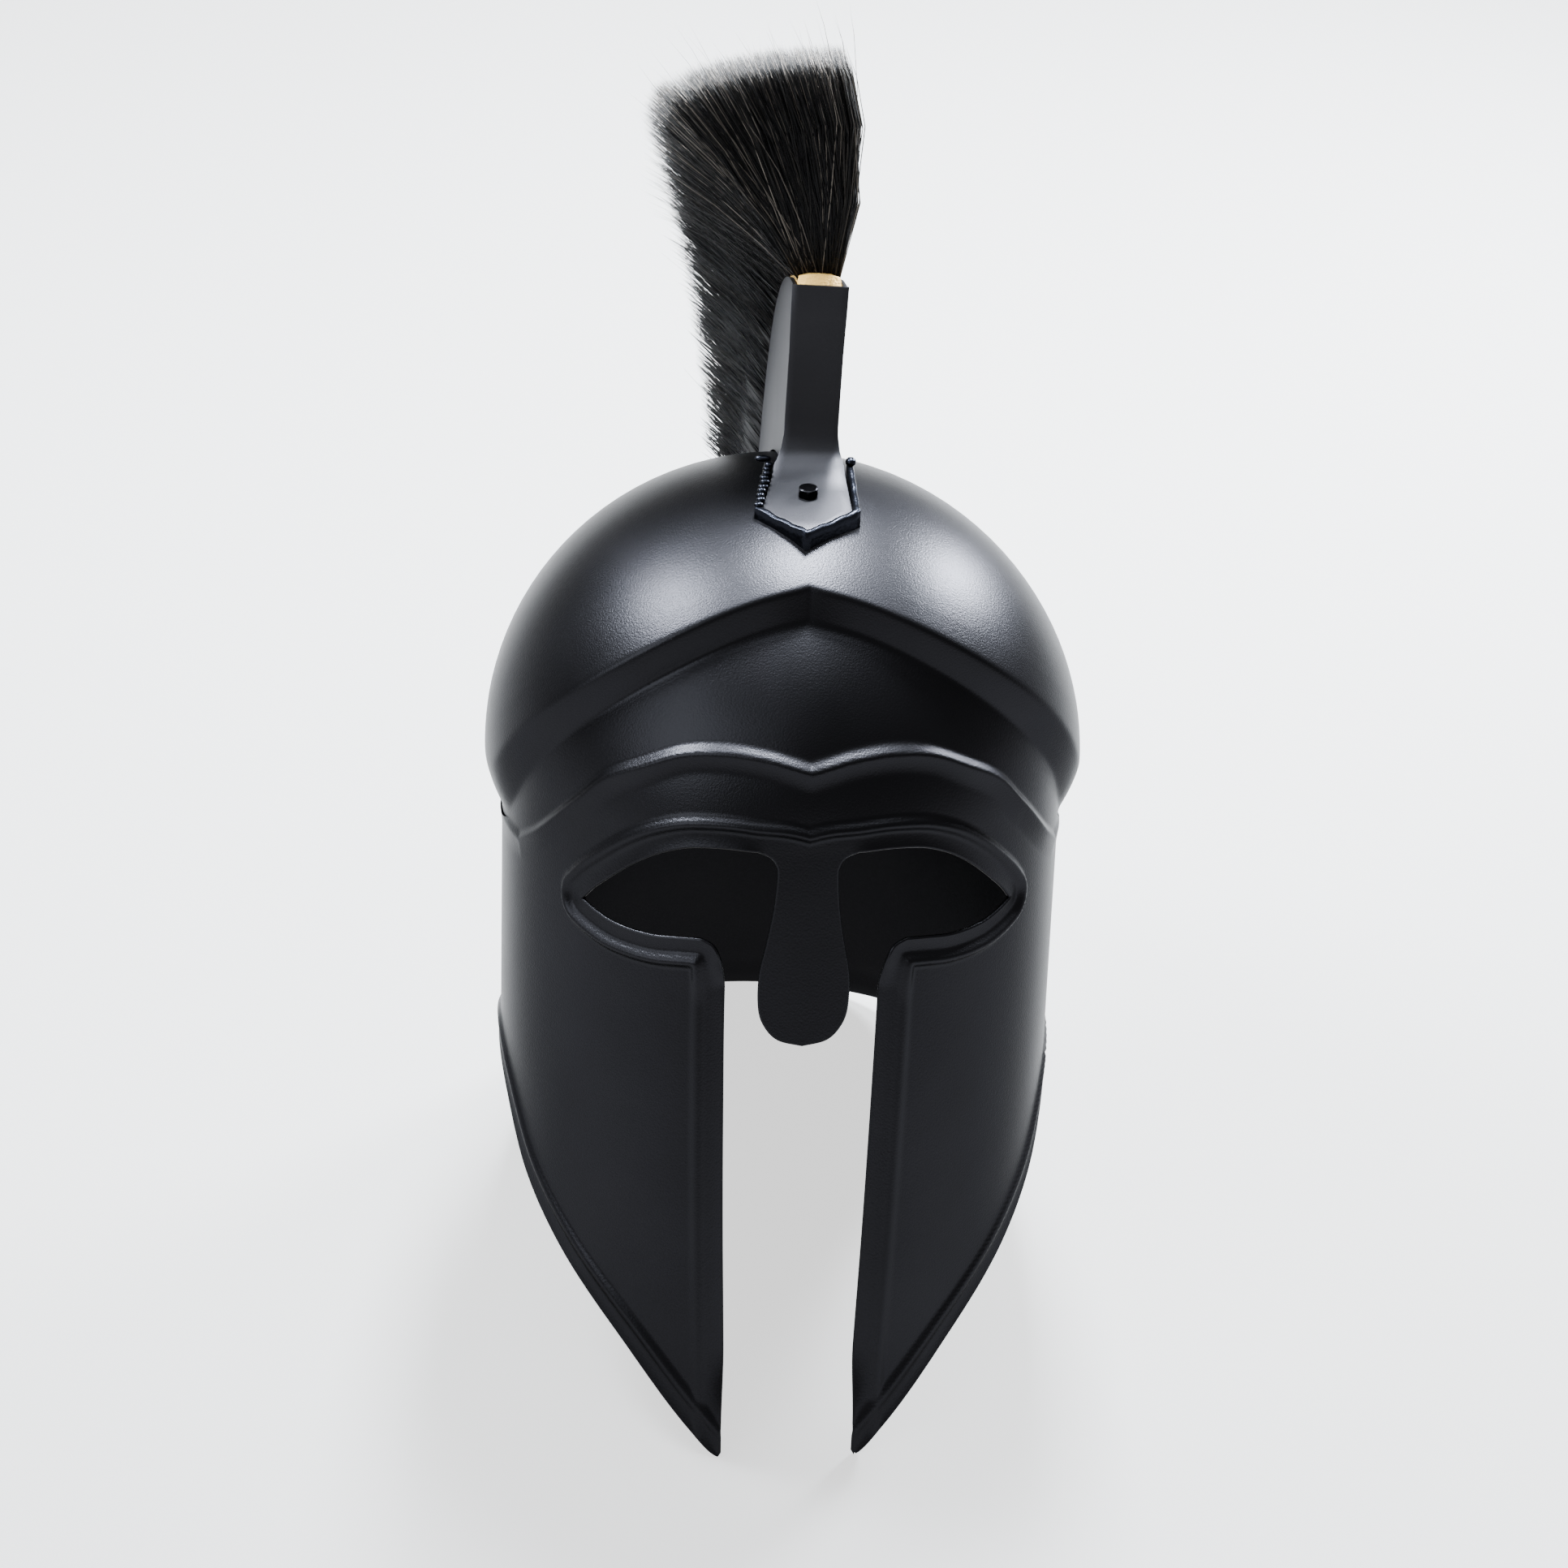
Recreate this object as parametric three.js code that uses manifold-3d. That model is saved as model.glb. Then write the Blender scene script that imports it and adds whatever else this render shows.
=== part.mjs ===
// Black steel Corinthian helmet with a raised crest holder and a horsehair plume.
// Millimetres. Inside the helmet group +Z is the wearer's up, -Y the wearer's front and the
// origin is the middle of the dome's widest level. The group is then tipped back so that the
// two cheek tips and the neck guard's rear edge stand on the plane z = 0.

import * as THREE from 'three';
import { mergeVertices } from 'three/addons/utils/BufferGeometryUtils.js';
import Module from 'manifold-3d';

const wasm = await Module();
wasm.setup();

const { degToRad, radToDeg, smoothstep, lerp } = THREE.MathUtils;

// ---------------------------------------------------------------- driving dimensions

const WALL = 1.5;
const GAP = 0.3;

const MASK = { halfWidth: 103, front: 108, back: 128, crown: 97 };
const DOME = { halfWidth: 109.5, front: 122, back: 136, crown: 105 };

const CREASE = { peak: 81, fall: 0.0139, point: 1.5, pointWidth: 5, sideLevel: -4, easing: 10 };
const BEVEL = { frontDepth: 12.5, sideDepth: 18.5, straight: 0.55 };
const KEEL = { height: 1.5, width: 6, low: -5, high: 25 };
const NECK = { flare: 14, from: 95, to: 160, top: -60, bottom: -157, bend: 1.6 };

// Lower edge of the wall: height at each angle round from the front.
const LOWER_EDGE = [
  { angle: 0, z: -239 },
  { angle: 14, z: -239 },
  { angle: 20, z: -229.5 },
  { angle: 36, z: -198 },
  { angle: 54, z: -170 },
  { angle: 66, z: -151 },
  { angle: 78, z: -128 },
  { angle: 90, z: -117.5 },
  { angle: 102, z: -123 },
  { angle: 114, z: -142 },
  { angle: 126, z: -154 },
  { angle: 150, z: -157 },
  { angle: 180, z: -157 },
];

// Upper edge of the brow ridge: height at each angle from the nose.
const BROW = [
  { angle: 0, z: 28.8 },
  { angle: 8, z: 31.6 },
  { angle: 17, z: 33 },
  { angle: 26, z: 30.6 },
  { angle: 35, z: 24 },
  { angle: 44, z: 13.5 },
  { angle: 52, z: 2 },
  { angle: 61, z: -10 },
  { angle: 71, z: -22 },
];

const BORDER = { width: 11, bead: 5, height: 2 };

// The crest's foot and its body turn about the bend between them, each by its own angles.
const BEND = { x: 5.8, y: -5, z: 109.1 };
const FOOT = { skew: -5.8, slope: 12.3, tip: -54, corner: -38.5, cornerHalf: 15.6, rearHalf: 12.8 };
const COLLAR = { wall: 2.6, gap: 0.4, rise: 1, rear: -3, depth: 14 };
const BOLT = { along: -27.6, flats: 6.4, headHeight: 3, shank: 2, hole: 2.3, length: 11 };
const CREST = { width: 19.3, yaw: -1.5, lean: 1.7 };

// Upper edge of the crest holder's side walls: distance behind the front plate and height
// above the bend.
const HOLDER_TOP = [
  { back: 0, up: 63 },
  { back: 25, up: 60.5 },
  { back: 50, up: 54 },
  { back: 73, up: 43 },
  { back: 92, up: 27.5 },
  { back: 107, up: 7 },
  { back: 118, up: -16 },
  { back: 126, up: -40 },
  { back: 131, up: -62 },
];
const HOLDER_HEEL = { back: 115, up: -70.5 };

// Front plate and bend of the holder, from the top edge down to the foot.
const FRONT_SHEET = [
  { ahead: 0, up: 63, half: 9.65 },
  { ahead: 0, up: 17, half: 9.65 },
  { ahead: 0.4, up: 10, half: 9.8 },
  { ahead: 2.2, up: 4.4, half: 10.6 },
  { ahead: 5.4, up: 0.9, half: 11.8 },
];

const CORE_PROUD = 1.5;
const PLUME = { locks: 15, length: 79, rearLength: 58, firstRow: 8, valley: 0.93 };

// Sideways reach of the plume from the crest's middle, at its front and at its rear.
const PLUME_REACH = { leftFront: -57, leftRear: -22, rightFront: 13, rightRear: 12 };

// ---------------------------------------------------------------- curves and solids

// Smooth curve through the rows of a table, read at one value of its first column.
function readTable(rows, key, value, at) {
  const last = rows.length - 1;
  let i = 0;
  while (i < last - 1 && rows[i + 1][key] < at) i += 1;
  const slope = (k) => {
    const a = rows[Math.max(k - 1, 0)];
    const b = rows[Math.min(k + 1, last)];
    return (b[value] - a[value]) / (b[key] - a[key]);
  };
  const span = rows[i + 1][key] - rows[i][key];
  const u = THREE.MathUtils.clamp((at - rows[i][key]) / span, 0, 1);
  const h00 = 2 * u ** 3 - 3 * u ** 2 + 1;
  const h10 = u ** 3 - 2 * u ** 2 + u;
  const h01 = 3 * u ** 2 - 2 * u ** 3;
  const h11 = u ** 3 - u ** 2;
  return h00 * rows[i][value] + h10 * span * slope(i) + h01 * rows[i + 1][value] + h11 * span * slope(i + 1);
}

// Closed skin through a list of closed rings of equal length, with a point at each end.
function skin(rings, startPoint, endPoint) {
  const n = rings[0].length;
  const points = [startPoint, ...rings.flat(), endPoint];
  const endIndex = points.length - 1;
  const faces = [];
  for (let j = 0; j < n; j += 1) {
    const k = (j + 1) % n;
    faces.push(0, 1 + k, 1 + j);
    for (let i = 0; i < rings.length - 1; i += 1) {
      const a = 1 + i * n;
      const b = a + n;
      faces.push(a + j, a + k, b + k, a + j, b + k, b + j);
    }
    const lastRing = 1 + (rings.length - 1) * n;
    faces.push(lastRing + j, lastRing + k, endIndex);
  }
  const geometry = new THREE.BufferGeometry().setFromPoints(points);
  geometry.setIndex(faces);
  return geometry;
}

function toSolid(geometry) {
  const bare = geometry.clone();
  bare.deleteAttribute('normal');
  bare.deleteAttribute('uv');
  const merged = mergeVertices(bare, 1e-4);
  const vertProperties = new Float32Array(merged.attributes.position.array);
  const triVerts = new Uint32Array(merged.index.array);
  const solid = new wasm.Manifold(new wasm.Mesh({ numProp: 3, vertProperties, triVerts }));
  return solid.volume() < 0 ? toSolid(flipped(merged)) : solid;
}

function middleOf(ring) {
  return ring.reduce((sum, p) => sum.add(p), new THREE.Vector3()).divideScalar(ring.length);
}

function flipped(geometry) {
  const faces = geometry.index.array;
  for (let i = 0; i < faces.length; i += 3) [faces[i], faces[i + 1]] = [faces[i + 1], faces[i]];
  return geometry;
}

function toGeometry(solid) {
  const mesh = solid.getMesh();
  const geometry = new THREE.BufferGeometry();
  geometry.setAttribute('position', new THREE.BufferAttribute(mesh.vertProperties, 3));
  geometry.setIndex(new THREE.BufferAttribute(mesh.triVerts, 1));
  return geometry;
}

// ---------------------------------------------------------------- helmet shell

// Half-axes of a body taken in by a distance.
function inset(body, by) {
  return {
    halfWidth: body.halfWidth - by,
    front: body.front - by,
    back: body.back - by,
    crown: body.crown - by,
  };
}

// Point on an egg-shaped body: angle round from the front in degrees, and height.
function bodyPoint(body, angle, z) {
  const ring = z > 0 ? Math.sqrt(Math.max(0, 1 - (z / body.crown) ** 2)) : 1;
  const turn = degToRad(angle);
  const depth = Math.cos(turn) > 0 ? body.front : body.back;
  return new THREE.Vector3(body.halfWidth * ring * Math.sin(turn), -depth * ring * Math.cos(turn), z);
}

function creaseHeight(angle) {
  const a = Math.abs(angle);
  const falling = CREASE.peak - CREASE.fall * a * a + CREASE.point * Math.exp(-a / CREASE.pointWidth);
  const gap = falling - CREASE.sideLevel;
  return 0.5 * (falling + CREASE.sideLevel + Math.sqrt(gap * gap + CREASE.easing ** 2));
}

function bevelFoot(angle) {
  const toSide = smoothstep(Math.abs(angle), 0, 90);
  return creaseHeight(angle) - lerp(BEVEL.frontDepth, BEVEL.sideDepth, toSide);
}

const lowerEdge = (angle) => readTable(LOWER_EDGE, 'angle', 'z', Math.abs(angle));

// Mask wall: the egg shape with a faint keel up the forehead and a flare round the neck.
function maskPoint(angle, z, by) {
  const point = bodyPoint(inset(MASK, by), angle, z);
  const a = Math.abs(angle);
  const keel = KEEL.height * Math.exp(-a / KEEL.width) * smoothstep(z, KEEL.low, KEEL.high);
  const drop = Math.max(0, (NECK.top - z) / (NECK.top - NECK.bottom));
  const flare = NECK.flare * smoothstep(a, NECK.from, NECK.to) * drop ** NECK.bend;
  const turn = degToRad(angle);
  point.x += flare * Math.sin(turn);
  point.y -= (keel + flare) * Math.cos(turn);
  return point;
}

// One meridian of the shell at an inset, from just under the crown to the lower edge.
function meridian(angle, by) {
  const dome = inset(DOME, by);
  const crease = creaseHeight(angle);
  const foot = bevelFoot(angle);
  const edge = lowerEdge(angle);
  const points = [];
  const creaseLatitude = Math.asin(crease / dome.crown);
  const domeRows = 7;
  for (let i = 1; i <= domeRows; i += 1) {
    const latitude = lerp(Math.PI / 2, creaseLatitude, i / domeRows);
    points.push(bodyPoint(dome, angle, dome.crown * Math.sin(latitude)));
  }
  const lip = bodyPoint(dome, angle, crease);
  const root = maskPoint(angle, foot, by);
  for (const s of [0.4, 0.75, 1]) {
    const point = new THREE.Vector3().lerpVectors(lip, root, lerp(s * s, s, BEVEL.straight));
    point.z = lerp(crease, foot, s);
    points.push(point);
  }
  const maskRows = 12;
  for (let i = 1; i <= maskRows; i += 1) {
    points.push(maskPoint(angle, lerp(foot, edge, (i / maskRows) ** 1.4), by));
  }
  return points;
}

const COLUMNS = [...Array(72).keys()].map((i) => -180 + 5 * i);

function wallRings(by) {
  const columns = COLUMNS.map((angle) => meridian(angle, by));
  return columns[0].map((_, row) => columns.map((column) => column[row]));
}

function crownPoint(by) {
  return new THREE.Vector3(0, 0, DOME.crown - by);
}

// The dome alone as a filled solid, used to trim what stands on it.
function domeBlock(by) {
  const rings = wallRings(by).slice(0, 7);
  return toSolid(skin(rings, crownPoint(by), new THREE.Vector3(0, 0, 0)));
}

// Right half of the face opening, seen from the front, from the cheek gap round the eye to
// the nasal's foot. The left half is its mirror image.
function faceOpening() {
  const shape = new THREE.Shape();
  const below = -260;
  const half = (side) => {
    const path = new THREE.Path();
    path.moveTo(0, below);
    path.lineTo(23.3, below);
    path.lineTo(24.4, -207.5);
    path.lineTo(26.5, -142);
    path.lineTo(28.3, -79);
    path.lineTo(28.4, -46);
    path.quadraticCurveTo(29.5, -35.6, 35, -35.8);
    path.bezierCurveTo(50, -37.5, 66, -39.5, 75.3, -32);
    path.bezierCurveTo(60, -4, 35, 1.5, 15, -3.6);
    path.quadraticCurveTo(10.5, -5, 10.6, -12);
    path.bezierCurveTo(10.8, -28, 16.5, -44, 16.5, -58);
    path.bezierCurveTo(16.5, -67, 9.1, -74.3, 0, -74.3);
    return path.getPoints(7).map((p) => new THREE.Vector2(side * p.x, p.y));
  };
  const right = half(1);
  const left = half(-1).reverse().slice(1, -1);
  shape.setFromPoints([...right, ...left]);
  return shape;
}

// Raised strip on the mask wall: a path of angles and heights, and a section across it.
function ridge(path, section) {
  const mmPerDegree = degToRad(1) * 0.5 * (MASK.halfWidth + MASK.front);
  const rings = path.map((here, i) => {
    const before = path[Math.max(i - 1, 0)];
    const after = path[Math.min(i + 1, path.length - 1)];
    const along = new THREE.Vector2((after.angle - before.angle) * mmPerDegree, after.z - before.z).normalize();
    return section.map(({ across, rise }) => {
      const angle = here.angle - (along.y * across) / mmPerDegree;
      const z = here.z + along.x * across;
      return maskPoint(angle, z, -rise);
    });
  });
  return toSolid(skin(rings, middleOf(rings[0]), middleOf(rings[rings.length - 1])));
}

const BEAD_SECTION = [
  { across: -2.5, rise: -0.8 },
  { across: 2.6, rise: -0.8 },
  { across: 2.4, rise: 0.3 },
  { across: 1, rise: BORDER.height },
  { across: -0.6, rise: BORDER.height * 0.85 },
  { across: -2.4, rise: 0.3 },
];

const BROW_SECTION = [
  { across: -8.5, rise: -0.8 },
  { across: 0, rise: -0.8 },
  { across: -0.2, rise: 0.6 },
  { across: -1.8, rise: 2.6 },
  { across: -4.2, rise: 2.2 },
  { across: -8, rise: 0.2 },
];

// Centre line of the bead that follows the face opening, from the nose to the cheek tip.
const FACE_BEAD = [
  { angle: 0, z: 5.2 },
  { angle: 7, z: 6.6 },
  { angle: 14, z: 7 },
  { angle: 22, z: 5.4 },
  { angle: 30, z: 0 },
  { angle: 38, z: -8.6 },
  { angle: 45, z: -19.5 },
  { angle: 50.5, z: -31 },
  { angle: 49, z: -37.5 },
  { angle: 42, z: -43.5 },
  { angle: 32, z: -46 },
  { angle: 25, z: -45.8 },
  { angle: 21.6, z: -49.5 },
  { angle: 20.8, z: -58 },
  { angle: 20.6, z: -80 },
  { angle: 19.8, z: -142 },
  { angle: 18.6, z: -200 },
  { angle: 18.2, z: -220 },
];

function helmetShell() {
  const rings = [...wallRings(0), ...wallRings(WALL).reverse()];
  let shell = toSolid(skin(rings, crownPoint(0), crownPoint(WALL)));

  const mirror = (path) => path.map(({ angle, z }) => ({ angle: -angle, z })).reverse();
  const browPath = BROW.map(({ angle, z }) => ({ angle, z }));
  shell = shell.add(ridge(browPath, BROW_SECTION)).add(ridge(mirror(browPath), BROW_SECTION));
  const facePath = [...FACE_BEAD].reverse();
  const flip = (section) => section.map(({ across, rise }) => ({ across: -across, rise })).reverse();
  shell = shell.add(ridge(facePath, flip(BEAD_SECTION))).add(ridge(mirror(facePath), flip(BEAD_SECTION)));

  const edgePath = [];
  const inner = BORDER.width - BORDER.bead / 2;
  for (let angle = 24; angle <= 180; angle += 6) edgePath.push({ angle, z: lowerEdge(angle) + inner * 1.2 });
  shell = shell.add(ridge(edgePath, BEAD_SECTION)).add(ridge(mirror(edgePath), BEAD_SECTION));

  const cutDepth = 120;
  const cutter = new THREE.ExtrudeGeometry(faceOpening(), { depth: cutDepth, bevelEnabled: false });
  cutter.rotateX(Math.PI / 2).translate(0, -25, 0);
  shell = shell.subtract(toSolid(cutter));

  return toGeometry(shell.add(crestCollar()).subtract(boltHole()));
}

// ---------------------------------------------------------------- crest foot and collar

// Frame with its origin at the bend. In the foot's, -Y runs down to the foot's tip.
function footFrame() {
  const frame = new THREE.Matrix4().makeTranslation(BEND.x, BEND.y, BEND.z);
  frame.multiply(new THREE.Matrix4().makeRotationZ(degToRad(FOOT.skew)));
  return frame.multiply(new THREE.Matrix4().makeRotationX(degToRad(FOOT.slope)));
}

// In the crest's frame +Y runs back along the channel and +Z up the front plate.
function crestFrame() {
  const frame = new THREE.Matrix4().makeTranslation(BEND.x, BEND.y, BEND.z);
  frame.multiply(new THREE.Matrix4().makeRotationZ(degToRad(CREST.yaw)));
  return frame.multiply(new THREE.Matrix4().makeRotationY(degToRad(CREST.lean)));
}

// Five-sided outline of the foot, grown by a margin.
function footOutline(margin, rear) {
  const tip = FOOT.tip - margin * 1.2;
  const corner = FOOT.corner - margin * 0.5;
  const cornerHalf = FOOT.cornerHalf + margin;
  const rearHalf = FOOT.rearHalf + margin;
  return [
    new THREE.Vector2(0, tip),
    new THREE.Vector2(cornerHalf, corner),
    new THREE.Vector2(rearHalf, rear),
    new THREE.Vector2(-rearHalf, rear),
    new THREE.Vector2(-cornerHalf, corner),
  ];
}

// Prism on a flat outline in the foot's frame, from one height to another.
function footPrism(outline, from, to) {
  const prism = new THREE.ExtrudeGeometry(new THREE.Shape(outline), { depth: to - from, bevelEnabled: false });
  return toSolid(prism.translate(0, 0, from).applyMatrix4(footFrame()));
}

// Strip welded on edge round the foot, standing on the dome and open at the rear.
function crestCollar() {
  const strip = footPrism(footOutline(COLLAR.gap + COLLAR.wall, COLLAR.rear), COLLAR.rise - COLLAR.depth, COLLAR.rise);
  const space = footPrism(footOutline(COLLAR.gap, 20), -2 * COLLAR.depth, 2 * COLLAR.rise);
  return strip.subtract(space).subtract(domeBlock(WALL / 2));
}

function boltHole() {
  const drill = new THREE.CylinderGeometry(BOLT.hole, BOLT.hole, 30, 12).rotateX(Math.PI / 2);
  return toSolid(drill.translate(0, BOLT.along, 0).applyMatrix4(footFrame()));
}

// ---------------------------------------------------------------- crest holder

// Outline of the channel seen from the side, from the front plate to the rear, taken in by a
// distance at both ends and raised along its upper edge.
function channelOutline(endInset, raise) {
  const top = HOLDER_TOP.map(({ back, up }) => new THREE.Vector2(back, up + raise));
  const curve = new THREE.SplineCurve(top).getPoints(24);
  const last = curve.length - 1;
  curve[0].lerp(curve[1], endInset / (curve[1].x - curve[0].x));
  curve[last].lerp(curve[last - 1], endInset / (curve[last - 1].y - curve[last].y));
  const heel = new THREE.Vector2(HOLDER_HEEL.back, HOLDER_HEEL.up + endInset);
  return [new THREE.Vector2(endInset, -30), ...curve, heel];
}

// Plate standing along the crest, from one side of its middle to another.
function crestPlate(outline, from, to) {
  const plate = new THREE.ExtrudeGeometry(new THREE.Shape(outline), { depth: to - from, bevelEnabled: false });
  const upright = new THREE.Matrix4().makeBasis(
    new THREE.Vector3(0, 1, 0),
    new THREE.Vector3(0, 0, 1),
    new THREE.Vector3(1, 0, 0),
  );
  plate.applyMatrix4(upright).translate(from, 0, 0).applyMatrix4(crestFrame());
  return toSolid(plate);
}

// Front plate, bend and foot: one sheet carried through cross-lines at its stations.
function bentSheet() {
  const crest = crestFrame();
  const foot = footFrame();
  const lines = FRONT_SHEET.map(({ ahead, up, half }) => {
    const turned = smoothstep(ahead, 0, 6);
    const ends = [-half, half].map((x) => {
      const inCrest = new THREE.Vector3(x, -ahead, up).applyMatrix4(crest);
      const inFoot = new THREE.Vector3(x, -ahead, up + ahead * 0.2).applyMatrix4(foot);
      return inCrest.lerp(inFoot, turned);
    });
    return ends;
  });
  const footRows = [
    { along: -10, half: FOOT.rearHalf },
    { along: FOOT.corner, half: FOOT.cornerHalf },
    { along: FOOT.tip + 1, half: 0.8 },
  ];
  footRows.forEach(({ along, half }) => {
    lines.push([-half, half].map((x) => new THREE.Vector3(x, along, 0).applyMatrix4(foot)));
  });
  const rings = lines.map(([left, right], i) => {
    const before = lines[Math.max(i - 1, 0)];
    const after = lines[Math.min(i + 1, lines.length - 1)];
    const along = new THREE.Vector3().subVectors(after[0], before[0]).add(after[1]).sub(before[1]);
    const across = new THREE.Vector3().subVectors(right, left);
    const under = new THREE.Vector3().crossVectors(across, along).setLength(WALL);
    return [left, right, right.clone().add(under), left.clone().add(under)];
  });
  return toSolid(skin(rings, middleOf(rings[0]), middleOf(rings[rings.length - 1])));
}

function crestHolder() {
  const half = CREST.width / 2;
  const outline = channelOutline(0, 0);
  const left = crestPlate(outline, -half, WALL - half);
  const right = crestPlate(outline, half - WALL, half);
  const end = crestPlate([...rearStrip(outline)], -half, half);
  const holder = bentSheet().add(left).add(right).add(end);
  return toGeometry(holder.subtract(boltHole()).subtract(domeBlock(-GAP)));
}

// Outline of the channel's rear wall, which joins the two side walls behind the core.
function rearStrip(outline) {
  const corner = outline[outline.length - 2];
  const heel = outline[outline.length - 1];
  const lift = new THREE.Vector2(0, WALL);
  return [heel, corner, corner.clone().add(lift), heel.clone().add(lift)];
}

function crestBolt() {
  const headRadius = BOLT.flats / 2 / Math.cos(Math.PI / 6);
  const head = new THREE.CylinderGeometry(headRadius, headRadius, BOLT.headHeight, 6).rotateX(Math.PI / 2);
  head.translate(0, BOLT.along, GAP + BOLT.headHeight / 2);
  const shank = new THREE.CylinderGeometry(BOLT.shank, BOLT.shank, BOLT.length, 12).rotateX(Math.PI / 2);
  shank.translate(0, BOLT.along, GAP + 1 - BOLT.length / 2);
  return toGeometry(toSolid(head).add(toSolid(shank))).applyMatrix4(footFrame());
}

function brushCore() {
  const half = CREST.width / 2 - WALL - GAP;
  const core = crestPlate(channelOutline(WALL + GAP, CORE_PROUD), -half, half);
  return toGeometry(core.subtract(domeBlock(-GAP)));
}

// ---------------------------------------------------------------- plume

// Fan of locks: rings stand on the core's upper edge, and every other ring is a valley.
function plume() {
  const edge = HOLDER_TOP.map(({ back, up }) => new THREE.Vector2(back, up + CORE_PROUD + GAP));
  const spine = new THREE.SplineCurve(edge);
  const steps = PLUME.locks * 2;
  const start = PLUME.firstRow / spine.getLength();
  const rings = [...Array(steps + 1).keys()].map((i) => {
    const along = lerp(start, 0.985, i / steps);
    const root = spine.getPointAt(along);
    const tangent = spine.getTangentAt(along);
    const trim = i % 2 === 0 ? PLUME.valley : 1;
    const upright = 1 - smoothstep(along, 0, 0.12);
    const lean = new THREE.Vector2(lerp(-tangent.y, -0.02, upright), lerp(tangent.x, 1, upright)).normalize();
    const length = lerp(PLUME.length, PLUME.rearLength, along) * trim;
    const place = (x, share) => {
      const y = root.x + lean.x * length * share;
      const z = root.y + lean.y * length * share;
      return new THREE.Vector3(x, y, z).applyMatrix4(crestFrame());
    };
    const left = lerp(PLUME_REACH.leftFront, PLUME_REACH.leftRear, along ** 0.7) * trim;
    const right = lerp(PLUME_REACH.rightFront, PLUME_REACH.rightRear, along) * trim;
    return [
      place(-7.5, 0),
      place(7.5, 0),
      place(right * 0.85, 0.35),
      place(right, 0.75),
      place(right * 0.5, 1),
      place(left * 0.45, 1.02),
      place(left, 0.86),
      place(left * 0.62, 0.42),
    ];
  });
  const hair = toSolid(skin(rings, middleOf(rings[0]), middleOf(rings[rings.length - 1])));
  const room = crestPlate(channelOutline(0, CORE_PROUD + GAP), -CREST.width, CREST.width);
  return toGeometry(hair.subtract(room));
}

// ---------------------------------------------------------------- the assembly

const blackPaint = new THREE.MeshStandardMaterial({ color: 0x17181b, roughness: 0.38, metalness: 0.4 });
const darkSteel = new THREE.MeshStandardMaterial({ color: 0x101114, roughness: 0.3, metalness: 0.8 });
const goldenWood = new THREE.MeshStandardMaterial({ color: 0xc79a4c, roughness: 0.8, metalness: 0 });
const horsehair = new THREE.MeshStandardMaterial({ color: 0x0e0d0d, roughness: 0.6, metalness: 0 });

function piece(name, geometry, material) {
  const mesh = new THREE.Mesh(geometry, material);
  mesh.name = name;
  return mesh;
}

const helmet = new THREE.Group();
helmet.add(
  piece('helmet_shell', helmetShell(), blackPaint),
  piece('crest_holder', crestHolder(), blackPaint),
  piece('crest_bolt', crestBolt(), darkSteel),
  piece('brush_core', brushCore(), goldenWood),
  piece('plume', plume(), horsehair),
);

// Tip the helmet back onto its cheek tips and the rear edge of the neck guard.
const tip = maskPoint(14, lowerEdge(14), 0);
const rear = maskPoint(180, lowerEdge(180), 0);
helmet.rotation.x = Math.atan2(tip.z - rear.z, rear.y - tip.y);
const box = new THREE.Box3().setFromObject(helmet, true);
const centre = box.getCenter(new THREE.Vector3());
helmet.position.set(-centre.x, -centre.y, -box.min.z);

const object = new THREE.Group();
object.add(helmet);

export default object;
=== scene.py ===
import math

import bpy
import numpy as np
from mathutils import Matrix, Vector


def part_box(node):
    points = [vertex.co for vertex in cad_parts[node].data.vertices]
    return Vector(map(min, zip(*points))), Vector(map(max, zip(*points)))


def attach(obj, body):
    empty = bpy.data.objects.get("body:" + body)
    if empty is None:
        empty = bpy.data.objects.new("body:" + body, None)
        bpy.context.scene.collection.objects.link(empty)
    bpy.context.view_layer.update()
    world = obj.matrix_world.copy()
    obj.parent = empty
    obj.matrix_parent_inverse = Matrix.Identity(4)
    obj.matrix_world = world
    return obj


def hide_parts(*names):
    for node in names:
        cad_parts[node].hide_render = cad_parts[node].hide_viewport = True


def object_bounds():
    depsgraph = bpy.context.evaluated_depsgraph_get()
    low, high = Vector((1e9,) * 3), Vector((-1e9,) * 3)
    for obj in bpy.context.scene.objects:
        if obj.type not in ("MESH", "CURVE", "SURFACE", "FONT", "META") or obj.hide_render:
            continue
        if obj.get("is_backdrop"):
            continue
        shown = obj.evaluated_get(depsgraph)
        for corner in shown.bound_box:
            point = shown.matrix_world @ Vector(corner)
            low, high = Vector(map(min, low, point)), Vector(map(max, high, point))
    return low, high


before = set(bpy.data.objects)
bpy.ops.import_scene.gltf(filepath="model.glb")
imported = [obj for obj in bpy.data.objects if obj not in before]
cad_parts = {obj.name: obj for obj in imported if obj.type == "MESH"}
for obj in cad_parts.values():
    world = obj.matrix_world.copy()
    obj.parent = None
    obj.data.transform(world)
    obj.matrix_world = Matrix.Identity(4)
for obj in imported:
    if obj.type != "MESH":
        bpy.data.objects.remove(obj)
cad_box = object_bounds()

# ---------------------------------------------------------------------------
# The steel shell: its shape.
# One raised and welded steel sheet. A dome overhangs the mask along a crease that peaks over
# the brow. The lengths are millimetres in the wearer's own frame: z up, front along -y, zero
# at the middle of the dome's widest level.

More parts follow.
